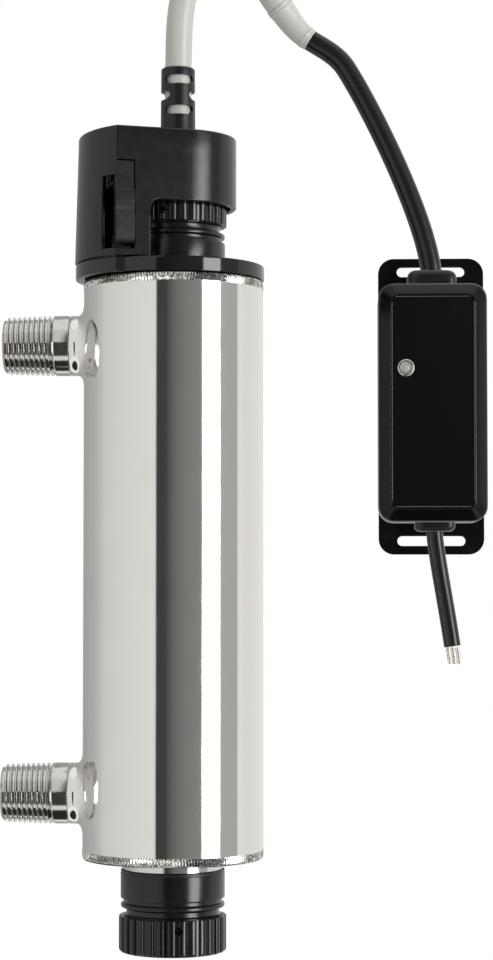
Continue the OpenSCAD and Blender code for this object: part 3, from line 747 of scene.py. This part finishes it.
def gland_nut(name, end, body, closed, weep):
    """Ribbed nut with a rounded end, dished instead of open where closed; weep is a bearing."""
    shares = (0.0, 0.025, 0.05, 0.075, 0.1, 0.2, 0.3, 0.325, 0.35, 0.375, 0.4, 0.5, 0.6, 0.7, 0.8, 0.9)
    ribs, edge, weep_r = 30, 1.4, 1.4
    bearings = [TURN * (k + s) / ribs for k in range(ribs) for s in shares]
    skin = [(NUT_R - 0.35, NUT_FOOT_H), (NUT_R - 0.1, NUT_FOOT_H + 0.1), (NUT_R, NUT_FOOT_H + 0.4),
            (NUT_R, NUT_TOP_H - 6)]
    skin += [(NUT_R - inwards, NUT_TOP_H - edge + up) for inwards, up in round_over(edge, 7)]
    bore = [(17.25, 29.5), (17.25, NUT_FOOT_H + 0.4), (17.6, NUT_FOOT_H)]
    if closed:
        top = [(15, NUT_TOP_H), (14.4, NUT_TOP_H - 0.4), (2, NUT_TOP_H - 0.5), (0, NUT_TOP_H - 0.5)]
        bore = [(0, 29.5)] + bore
    else:
        top = [(12.6, NUT_TOP_H), (12.15, NUT_TOP_H - 0.15), (12, NUT_TOP_H - 0.6), (12, 29.5)]
    ribbed = [ring_at(h, bearings, [nut_radius(r, s) for s in shares] * ribs) for r, h in skin]
    top, bore = ([ring_at(h, bearings, [r] * len(bearings)) for r, h in outline] for outline in (top, bore))
    shell = loft(bore + ribbed + top, cap=False) if closed else loft(ribbed + top + bore, wrap=True)
    made = piece(name + "_ribbed", [shell], "gloss", body, [name], at_end(end), sharp=50)
    hole = prism(disc(weep_r, 28), NUT_R - 2.4, NUT_R + 3)
    c, s = cos(radians(weep)), sin(radians(weep))
    hole = moved(hole, lambda x, y, z: (z * c - y * s, z * s + y * c, end * (PLATE_Z + WEEP_H + x)))
    cut(made, [hole], "gloss")


# ---------- head ----------

def head_columns():
    """Outer and inner outline of the head's wall, as pairs of (x, y) points."""
    inner_r, inner_long = HEAD_R - HEAD_WALL, HEAD_LONG_R - HEAD_WALL

    def column(outer, inner, degrees):
        a = radians(degrees)
        return (outer * cos(a), outer * sin(a)), (inner * cos(a), inner * sin(a))

    columns = [column(HEAD_R, inner_r, 6 * k - 90) for k in range(31)]
    mirrored_from = len(columns)
    window_end = [WINDOW_X + WINDOW_CORNER * (1 - cos(radians(a))) for a in range(90, -1, -15)]
    flats = [-3, -6, -9] + window_end + [-16, -18, -19.8, -21.5, -23.2, -24.8]
    corner_x = -sqrt(HEAD_LONG_R ** 2 - HEAD_R ** 2)
    inner_corner = -sqrt(inner_long ** 2 - inner_r ** 2)
    columns += [((x, HEAD_R), (max(x, inner_corner), inner_r)) for x in flats]
    columns.append(((corner_x, HEAD_R), (inner_corner, inner_r)))
    leans = (38, 36, 34, 31.6, 29.25, 25, 21, 16, 11, 5.5, 0)
    columns += [column(HEAD_LONG_R, inner_long, 180 - lean) for lean in leans]
    mirrored = [((p[0], -p[1]), (q[0], -q[1])) for p, q in columns[mirrored_from:-1]]
    return columns + mirrored[::-1]


def head_is_open(x, y, h):
    """True where the head's wall is cut away: the window under its round end, and the latch slot."""
    window = x > WINDOW_X and h < WINDOW_H
    front = SLOT_X0 < x < SLOT_X1 and y < SLOT_FRONT_Y and SLOT_FOOT_H < h < SLOT_TOP_H
    side = x < SLOT_SIDE_X and y < SLOT_SIDE_Y and SLOT_FOOT_H < h < SLOT_SIDE_H
    return window or front or side


def window_drop(x, h):
    """How far the window's top edge drops at x, where its corner is rounded."""
    run = x - WINDOW_X - WINDOW_CORNER
    if h != WINDOW_H or not -WINDOW_CORNER <= run < 0:
        return 0.0
    return sqrt(WINDOW_CORNER ** 2 - run * run) - WINDOW_CORNER


def head_wall(columns, rows):
    """The head's wall as a grid of cells, some of them open, with an outer and an inner skin."""
    n = len(columns)
    points = []
    for h in rows:
        points += [drafted(*outer, h + window_drop(outer[0], h)) for outer, inner in columns]
    for h in rows:
        points += [(*inner, h + window_drop(outer[0], h)) for outer, inner in columns]
    inner = n * len(rows)

    def present(i, j):
        if not 0 <= j < len(rows) - 1:
            return j >= 0
        (xa, ya), (xb, yb) = columns[i % n][0], columns[(i + 1) % n][0]
        return not head_is_open((xa + xb) / 2, (ya + yb) / 2, (rows[j] + rows[j + 1]) / 2)

    faces = []
    for j in range(len(rows) - 1):
        for i in range(n):
            if not present(i, j):
                continue
            a, b = j * n + i, j * n + (i + 1) % n
            c, d = b + n, a + n
            faces += [(a, b, c, d), (inner + a, inner + b, inner + c, inner + d)]
            for (p, q), beside in (((a, b), (i, j - 1)), ((d, c), (i, j + 1)),
                                   ((a, d), (i - 1, j)), ((b, c), (i + 1, j))):
                if not present(*beside):
                    faces.append((p, q, inner + q, inner + p))
    return points, faces


def head_roof(columns, wall_top):
    """Rounded top edge, roof, cord hole and ceiling, joined to the wall's top row."""
    edge, hole_r = HEAD_TOP_H - wall_top, 6.0
    hole = Vector((1.5 * cos(HEAD_TURN), -1.5 * sin(HEAD_TURN)))
    outer = [Vector(drafted(*c[0], wall_top)[:2]) for c in columns]
    inner = [Vector(c[1]) for c in columns]
    inward = [(Vector((-7, 0)) if p.x < -7 else Vector((0, 0))) - p for p in outer]
    rim = [(hole + (p - hole).normalized() * hole_r) for p in outer]
    rings = [[(*(p + d.normalized() * pull), wall_top + up) for p, d in zip(outer, inward)]
             for pull, up in round_over(edge, 5)]
    flat = [Vector(p[:2]) for p in rings[-1]]
    for share in (0.35, 0.75, 1.0):
        rings.append([(*p.lerp(q, share), HEAD_TOP_H) for p, q in zip(flat, rim)])
    for share in (1.0, 0.75, 0.35, 0.0):
        rings.append([(*p.lerp(q, share), CEILING_H) for p, q in zip(inner, rim)])
    rings.append([(*p, wall_top) for p in inner])
    return loft(rings, cap=False)


def head_posts():
    """Screw posts under the ceiling and the two bosses that hold the latch's pin."""
    foot, hole_r, post_r, ceiling = 45, 1.21, 2.7, CEILING_H - 0.01
    boss_hs, boss_back, pin_hole_r = (29.3, 36.0), -15.2, 1.05
    hole_end, left_x, left_front = -28.35, -29, -19.2
    post = lathe([(hole_r, foot), (post_r, foot), (post_r, ceiling), (hole_r, ceiling)], 32)
    shells = [moved(post, lambda px, py, pz, x=x: (px + x, py, pz)) for x in (-15, 15)]
    for x0, x1, front in ((hole_end, -27.1, left_front), (-19.7, -17.6, -20.05)):
        shells.append(drilled_block(x0, x1, (front, boss_back), boss_hs, pin_hole_r))
    solid_end = [(left_x, left_front), (hole_end, left_front), (hole_end, boss_back), (left_x, boss_back)]
    return shells + [prism(solid_end, *boss_hs)]


def drilled_block(x0, x1, ys, hs, hole_r):
    """Block across x0 to x1 with a hole for the latch's pin."""
    around = []
    for a in angles(48):
        dy, dh = cos(a), sin(a)
        reach_y = ((ys[1] if dy > 0 else ys[0]) - PIN_Y) / dy if abs(dy) > 1e-9 else 1e9
        reach_h = ((hs[1] if dh > 0 else hs[0]) - PIN_H) / dh if abs(dh) > 1e-9 else 1e9
        around.append((dy, dh, min(reach_y, reach_h)))
    outer = [[(x, PIN_Y + dy * r, PIN_H + dh * r) for dy, dh, r in around] for x in (x0, x1)]
    bore = [[(x, PIN_Y + dy * hole_r, PIN_H + dh * hole_r) for dy, dh, r in around] for x in (x1, x0)]
    return loft(outer + bore, wrap=True)


def drafted(x, y, h):
    """Leans the skin of the head's long end inwards, as far as a mould's draft takes it."""
    draft, share = 1.35, (h - HEAD_FOOT_H) / (HEAD_TOP_H - HEAD_FOOT_H)
    return (x + draft * share * max(0, LEVER_X1 - x) / (HEAD_LONG_R + LEVER_X1), y, h)


def head_housing():
    columns = head_columns()
    rows = [HEAD_FOOT_H, SLOT_FOOT_H, 14, 20, WINDOW_H, 30, SLOT_SIDE_H, SLOT_TOP_H, 44, HEAD_TOP_H - 0.9]
    shells = [head_wall(columns, rows), head_roof(columns, rows[-1])] + head_posts()
    made = piece("head_shell", shells, "satin", "head", ["head_housing"], at_head)
    bevel(made, 0.5, 1, 45, clamp=False)


def latch_lever():
    """Lever with a finger hollow half way down, its hub, and the foot that faces the catch."""
    face = soften([(20.2, 10.3, 0.4), (22.6, 10.3, 0.6), (23.6, 11.5, 0.8), (23.9, 20, 0.8), (23, 21.2, 0.8),
                   (23.2, 23, 1.0), (24, 24.5, 0.8), (23.6, 28.7, 0.8), (22.4, 29.5, 0.6), (22, 39, 0.6),
                   (20.2, 39, 0.3)], 4)
    hub = disc(2.2, 40, -PIN_Y, PIN_H)
    foot = [(15.6, 7.6), (17.4, 7.6), (17.4, 8.3), (17, 8.3), (17, 11.1), (20.6, 11.1), (20.6, 13.3),
            (15.6, 13.3)]
    web = [(17.6, 29.4), (20.6, 29.4), (20.6, 33.6), (17.6, 33.6)]

    hub_x1 = LEVER_X1 - 3.4
    shells = [prism(face, LEVER_X0, LEVER_X1), prism(hub, LEVER_X0, hub_x1),
              prism(web, LEVER_X0 + 0.05, hub_x1 - 0.05), prism(foot, LEVER_X0 + 0.4, LEVER_X1 - 0.4)]
    made = piece("latch_thumb_lever", shells, "lever", "latch", ["latch_lever"],
                 lambda depth, h, x: at_head(x, -depth, h))
    bevel(made, 0.4, 1, 40)


def strain_relief():
    """Boot with slots cut across it in turn, one way and then the other, so that it bends."""
    x, top = middle("strain_relief").x, high("strain_relief").z - PLATE_Z
    outline = soften([(4.8, CEILING_H - 2.1, 0), (7.5, CEILING_H - 2.1, 0.3), (7.5, CEILING_H - 0.1, 0.3),
                      (5.95, CEILING_H - 0.1, 0), (5.95, HEAD_TOP_H + 0.02, 0), (6.6, HEAD_TOP_H + 0.02, 0.2),
                      (6.2, HEAD_TOP_H + 0.7, 0.3), (6.0, top, 0.8), (4.8, top, 0.25)], 4)
    made = piece("strain_relief_boot", [lathe(outline)], "rubber", "head", ["strain_relief"],
                 lambda px, py, pz: (px + x, py, pz + PLATE_Z))
    stadium = [(copysign(3.35, cos(a)) + 1.65 * cos(a), 1.65 * sin(a))
               for a in [TURN * (i + 0.5) / 40 for i in range(40)]]
    slots = []
    for h, turn in ((10.0, 10), (20.9, 10), (15.4, 100)):
        z, c, n = PLATE_Z + HEAD_TOP_H + h, cos(radians(turn)), sin(radians(turn))
        slots.append(moved(prism(stadium, -12, 12),
                           lambda u, v, w, z=z, c=c, n=n: (x + c * u - n * w, n * u + c * w, z + v)))
    cut(made, slots, "rubber")
    bevel(made, 0.22, 2, 50)


# ---------- cords ----------

def sweep(path, radius, steps=30, columns=28):
    """Round bar along a chain of cubics. radius(s) is its radius at a share s of the way."""
    centres = [cubic(path[0], 0)]
    for curve in path:
        centres += [cubic(curve, k / steps) for k in range(1, steps + 1)]
    side = Vector((0, 1, 0))
    rings = []
    for k, centre in enumerate(centres):
        ahead = (centres[min(k + 1, len(centres) - 1)] - centres[max(k - 1, 0)]).normalized()
        side = (side - ahead * side.dot(ahead)).normalized()
        up = ahead.cross(side)
        r = radius(k / (len(centres) - 1))
        rings.append([centre + r * (cos(a) * side + sin(a) * up) for a in angles(columns)])
    return loft(rings)


RELIEF_TOP = Vector((middle("strain_relief").x, 0, high("strain_relief").z))
CORD_TOP = Vector((20.5, 11.6, 221))
SPLICE_START = Vector((36.5, 24, 207))
SPLICE_START_LEAN = Vector((4, 2, -4.5))
SPLICE_END = Vector((48.44, 27, 194.3))
SPLICE_END_LEAN = Vector((5.9, 0.2, -3.7))
CORD_BEND = Vector((61.45, 27, 183.7))
CORD_Y = 27
BOX_TOP = Vector((BOX_X, CORD_Y, BOX_HIGH.z))
BOX_FOOT = Vector((BOX_X + 0.8, CORD_Y, BOX_LOW.z))
POWER_LEAN = Vector((0.14, 0, -1)).normalized()
POWER_END = Vector((99.6, CORD_Y, -28))
UP = Vector((0, 0, 1))


def lamp_cord():
    """White cord, from inside the head up through the strain relief and over to the splice."""
    start = RELIEF_TOP - 30.7 * UP
    path = [(start, start + 10 * UP, RELIEF_TOP - 10 * UP, RELIEF_TOP),
            (RELIEF_TOP, RELIEF_TOP + Vector((0.9, 0, 10.4)), CORD_TOP - Vector((21, 19.6, 0)), CORD_TOP),
            (CORD_TOP, CORD_TOP + Vector((8.5, 7.9, 0)), SPLICE_START - SPLICE_START_LEAN, SPLICE_START)]
    piece("white_lamp_cord", [sweep(path, lambda s: 4.74)], "white_cord", "head", ["lamp_cord"])


def splice():
    """Moulded sleeve where the white cord meets the black one, with a lip at each end."""
    path = [(SPLICE_START, SPLICE_START + SPLICE_START_LEAN, SPLICE_END - SPLICE_END_LEAN, SPLICE_END)]

    def radius(s):
        lip = max(exp(-((s - place) / 0.02) ** 2) for place in (0.0, 0.1, 0.9, 1.0))
        taper = 5.32 - 1.15 * s
        ends = min(1.0, min(s, 1 - s) / 0.02)
        return taper - 0.25 * (1 - lip) - 0.35 * (1 - ends)

    piece("splice_sleeve", [sweep(path, radius, 80, 36)], "white_cord", "head", ["cord_splice"])


def output_cord():
    """Black cord from the splice down into the driver."""
    bend_lean = Vector((3.3, 0, -5.2))
    over_box = BOX_TOP + 3 * UP
    path = [(SPLICE_END, SPLICE_END + 0.83 * SPLICE_END_LEAN, CORD_BEND - bend_lean, CORD_BEND),
            (CORD_BEND, CORD_BEND + Vector((10, 0, -15.9)), BOX_TOP + Vector((-0.1, 0, 21.2)), over_box),
            (over_box, BOX_TOP + UP, BOX_TOP - 3 * UP, BOX_TOP - 5 * UP)]
    made = piece("black_output_cord", [sweep(path, lambda s: 3.84, 44)], "black_cord",
                 stands_for=["output_cord"])
    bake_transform(made)


def power_cord():
    """Cord out of the driver's foot, cut square, with its conductors bare at the end."""
    path = [(BOX_FOOT + 5 * UP, BOX_FOOT + 3 * UP, BOX_FOOT, BOX_FOOT - 3 * UP),
            (BOX_FOOT - 3 * UP, BOX_FOOT - 9 * UP, POWER_END - 14 * POWER_LEAN, POWER_END)]
    piece("black_power_cord", [sweep(path, lambda s: 3.04)], "black_cord", "root", ["power_cord"])


# ---------- driver ----------

def slab_rings(levels):
    """Rings for the driver's lid: levels are (width, height, corner radius, depth y)."""
    return [[(BOX_X + px, y, BOX_Z + pz) for px, pz in rounded_rectangle(width, height, corner)]
            for width, height, corner, y in levels]


def driver_cover():
    """Deep lid with a bevelled front, a recess for the panel and a cavity behind."""
    w, h = BOX_HIGH.x - BOX_LOW.x, BOX_HIGH.z - BOX_LOW.z
    front, back, corner, bevel_in, wall = BOX_FRONT, BOX_BACK, 5.6, 4.7, 1.6
    bevel_foot = front + bevel_in + 1.3
    outside = [(w, h, corner, back), (w, h, corner, front + 12)]
    outside += [(w - 2 * inwards, h - 2 * inwards, corner, bevel_foot - up)
                for inwards, up in round_over(3.2, 4, 45)]
    face_w, face_h = w - 2 * bevel_in, h - 2 * bevel_in
    outside.append((face_w + 1.6, face_h + 1.6, 3.6, front + 0.55))
    for share, y in ((0.9, 0.24), (0.35, 0.06), (-0.3, 0.0)):
        outside.append((face_w + share, face_h + share, 3.1, front + y))
    lip_w, lip_h = 29.4, 75.6
    recess = [(lip_w + 0.7, lip_h + 0.7, 2.0, front), (lip_w + 0.15, lip_h + 0.15, 1.7, front + 0.12),
              (lip_w, lip_h, 1.6, front + 0.5), (lip_w, lip_h, 1.6, front + 1.2)]
    cavity = [(lip_w - 1, lip_h - 1, 2, front + 2.4), (w - 2 * wall, h - 2 * wall, 4, front + 4.9),
              (w - 2 * wall, h - 2 * wall, 4, back)]
    skin, inside = slab_rings(outside + recess), slab_rings(cavity)
    whole = [tuple(range(len(skin[0])))]
    shells = [loft(skin, cap=False), (skin[-1], whole), loft(inside + [skin[0]], cap=False),
              (inside[0], whole)]
    cut(piece("driver_lid", shells, "cover", "root", ["driver_cover"]), cover_holes(), "cover")


def cover_holes():
    """Holes for the two grommets and for the indicator."""
    bezel = middle("indicator_bezel")
    return [prism(disc(5, 40, BOX_X, CORD_Y), BOX_HIGH.z - 6, BOX_HIGH.z + 6),
            prism(disc(4.4, 40, BOX_FOOT.x, CORD_Y), BOX_LOW.z - 6, BOX_LOW.z + 6),
            moved(prism(disc(2.6, 36), 0, 6), lambda x, y, z: (bezel.x + x, BOX_FRONT + z, bezel.z + y))]


def grommet(name, foot, up, width, height, corner, bore, lip):
    """Block that carries a cord through the cover's wall, with a flared mouth."""
    half_depth, columns, power = 7.0, 64, 5.0

    def block(shrink, h):
        """Outline of a rounded block, as a superellipse."""
        w, d = width / 2 - shrink, half_depth - shrink
        points = []
        for c, s in disc(1, columns):
            r = (abs(c / w) ** power + abs(s / d) ** power) ** (-1 / power)
            points.append((foot.x + r * c, foot.y + r * s, foot.z + up * h))
        return points

    def circle(r, h):
        return [(x, y, foot.z + up * h) for x, y in disc(r, columns, foot.x, foot.y)]

    rings = [block(0, 0.02)]
    rings += [block(inwards, height - corner + rise) for inwards, rise in round_over(corner, 6)]
    rings += [circle(lip, height), circle(lip - 0.6, height - 0.3), circle(bore, height - 1.7),
              circle(bore, -3.4), circle(bore + 2.4, -3.4), circle(bore + 2.4, -1.75),
              circle(bore + 1.2, -1.7), circle(bore + 1.2, 0.02)]
    piece(name + "_moulded", [loft(rings, wrap=True)], "rubber", "root", [name])


# ---------- the CAD pieces that keep their shape ----------

# Material, width of the rounded edges and the nodes that get them
DRESSES = (
    ("quartz", 0, "quartz_sleeve", "lamp_tube"),
    ("ceramic", 0.2, "lamp_lower_cap", "lamp_base", "lamp_socket", "driver_fuse"),
    ("brass", 0.1, "lamp_pins", "socket_contacts"),
    ("tungsten", 0, "lamp_filaments"),
    ("nickel", 0, "lamp_return_wire", "power_cord_conductors"),
    ("zinc", 0.1, "carrier_screws", "latch_pin", "cover_screws", "indicator_bezel"),
    ("zinc", 0, "latch_spring"),
    ("satin", 0.2, "socket_carrier"),
    ("washer", 0.2, "upper_thrust_washer", "lower_thrust_washer"),
    ("rubber", 0, "lower_neck_gasket", "upper_oring", "lower_oring"),
    ("wires", 0, "cord_wires", "driver_leads"),
    ("copper", 0.2, "driver_transformer"),
    ("board", 0.1, "driver_board"),
    ("sleeve", 0.3, "driver_capacitors"),
    ("lens", 0, "indicator_lens"),
    ("cover", 0.35, "driver_base"),
    ("cover", 0.25, "driver_panel"))


def dress_cad_pieces():
    """Gives CAD nodes their material and, where the width is not 0, rounded edges."""
    for material, width, *nodes in DRESSES:
        for node in [frame["nodes"][name] for name in nodes]:
            node.data.materials.clear()
            node.data.materials.append(MATERIALS[material])
            weld = node.modifiers.new("weld", "WELD")
            weld.merge_threshold = 0.001 * MM
            if width:
                bevel(node, width)


# ---------- studio ----------

# Light round the object: bearing in degrees, from the camera's side towards +X, and brightness,
# where 1 is white paper
BANDS = [(-180, 0.45), (-150, 0.40), (-120, 0.5), (-101, 0.62), (-95, 0.71), (-60, 0.80), (-18.5, 0.86),
         (-17.5, 0.055), (-6, 0.06), (4, 0.15), (20, 0.23), (41.5, 0.27), (42.5, 9.0), (64.5, 9.0),
         (65.5, 0.46), (93, 0.46), (95, 0.9), (110, 0.86), (165, 0.9), (180, 0.45)]

# Sines of the elevation at which the bright strip starts to fade and is gone, upwards and downwards
STRIP_ENDS = ((0.2, 0.22), (-0.3, -0.5))

# The studio's bands turn by LEAN between these two sines of the elevation
LEAN_FROM, LEAN_TO, LEAN = 0.152, 0.162, radians(8)

# Light above and below: sine of the elevation, brightness, and how far it takes over from BANDS
HEIGHTS = [(-1.0, 0.03, 1), (-0.885, 0.03, 1), (-0.875, 1.0, 1), (-0.70, 1.0, 1), (-0.68, 0.3, 0),
           (0.80, 1.0, 0), (0.88, 1.0, 1), (1.0, 1.0, 1)]


def ramp(tree, value, stops):
    """Colour ramp through stops of a place from 0 to 1, a brightness and an alpha."""
    made = add_node(tree, "ValToRGB", {"Fac": value})
    elements = made.color_ramp.elements
    while len(elements) < len(stops):
        elements.new(1.0)
    for element, (place, light, alpha) in zip(elements, stops):
        element.position = place
        element.color = (light, light * 0.985, light * 0.96, alpha)
    return made


def studio_light():
    """World that the camera sees as plain white and the object sees as a studio of soft panels."""
    world = bpy.data.worlds.new("studio")
    bpy.context.scene.world = world
    world.use_nodes = True
    tree = world.node_tree
    tree.nodes.clear()
    way = add_node(tree, "SeparateXYZ", {0: add_node(tree, "TexCoord").outputs["Generated"]})
    ahead = add_node(tree, "Math", {0: way.outputs["Y"], 1: -1.0}, operation="MULTIPLY")
    bearing = add_node(tree, "Math", {0: way.outputs["X"], 1: ahead.outputs[0]}, operation="ARCTAN2")
    lean = map_range(tree, way.outputs["Z"], LEAN_FROM, LEAN_TO, last=LEAN)
    leant = add_node(tree, "Math", {0: bearing.outputs[0], 1: lean}, operation="SUBTRACT")
    turn = map_range(tree, leant.outputs[0], -pi, pi)
    panels = ramp(tree, turn, [((degrees + 180) / 360, light, 1) for degrees, light in BANDS])

    above, below = (map_range(tree, way.outputs["Z"], *fade, interpolation_type="SMOOTHSTEP")
                    for fade in STRIP_ENDS)
    steep = add_node(tree, "Math", {0: above, 1: below}, operation="MAXIMUM")
    dimmed = add_node(tree, "Mix", {0: steep.outputs[0], 6: panels.outputs["Color"],
                                    7: (0.9, 0.89, 0.87, 1)}, data_type="RGBA", blend_type="DARKEN")
    height = map_range(tree, way.outputs["Z"], -1, 1)
    ends = ramp(tree, height, [((z + 1) / 2, light, share) for z, light, share in HEIGHTS])
    light = add_node(tree, "Mix", {0: ends.outputs["Alpha"], 6: dimmed.outputs[2],
                                   7: ends.outputs["Color"]}, data_type="RGBA")

    seen = add_node(tree, "Background", {"Color": (1, 1, 1, 1)})
    lit = add_node(tree, "Background", {"Color": light.outputs[2]})
    camera_ray = add_node(tree, "LightPath").outputs["Is Camera Ray"]
    chosen = add_node(tree, "MixShader", {0: camera_ray, 1: lit.outputs[0], 2: seen.outputs[0]})
    add_node(tree, "OutputWorld", {"Surface": chosen.outputs[0]})


def floor():
    """Pale round floor, well below the object."""
    radius, foot, top = 1500, -460, -450
    made = piece("floor", [prism(disc(radius, 96), foot, top)], "floor")
    made.visible_glossy = False


def camera():
    data = bpy.data.cameras.new("camera")
    data.lens = 88.875
    data.sensor_width = 36
    made = bpy.data.objects.new("camera", data)
    bpy.context.scene.collection.objects.link(made)
    made.location = (0.060, -0.837, -0.0069)
    made.rotation_euler = (radians(90 + 2.61), 0, radians(2.33))
    bpy.context.scene.camera = made


# ---------- the object ----------

def build():
    chamber()
    for end, side in (("upper", 1), ("lower", -1)):
        piece(end + "_rim_weld", [rim_weld()], "weld", "root", place=at_end(side))
        end_plate(end + "_end_plate", side)
        gland_body(end + "_gland_body", side)
    nipple("outlet_nipple", 1)
    nipple("inlet_nipple", -1)
    flange()
    gland_nut("upper_gland_nut", 1, "upper_nut", closed=False, weep=-98)
    gland_nut("lower_gland_nut", -1, "lower_nut", closed=True, weep=-79.4)
    head_housing()
    latch_lever()
    strain_relief()
    lamp_cord()
    splice()
    output_cord()
    power_cord()
    driver_cover()
    grommet("output_grommet", BOX_TOP, 1, width=18, height=5.6, corner=2.9, bore=3.93, lip=5.6)
    grommet("input_grommet", BOX_FOOT, -1, width=14.7, height=3.3, corner=1.8, bore=3.13, lip=4.9)
    dress_cad_pieces()


def hide_from_reflections():
    """Keeps the driver and its cords out of the chamber's reflections of the studio."""
    driver_side = 35 * MM
    for made in bpy.data.objects:
        if made.type == "MESH":
            left = min((made.matrix_world @ Vector(corner)).x for corner in made.bound_box)
            made.visible_glossy = left <= driver_side


build()
hide_from_reflections()
studio_light()
floor()
camera()
bpy.context.scene.view_settings.view_transform = "Standard"
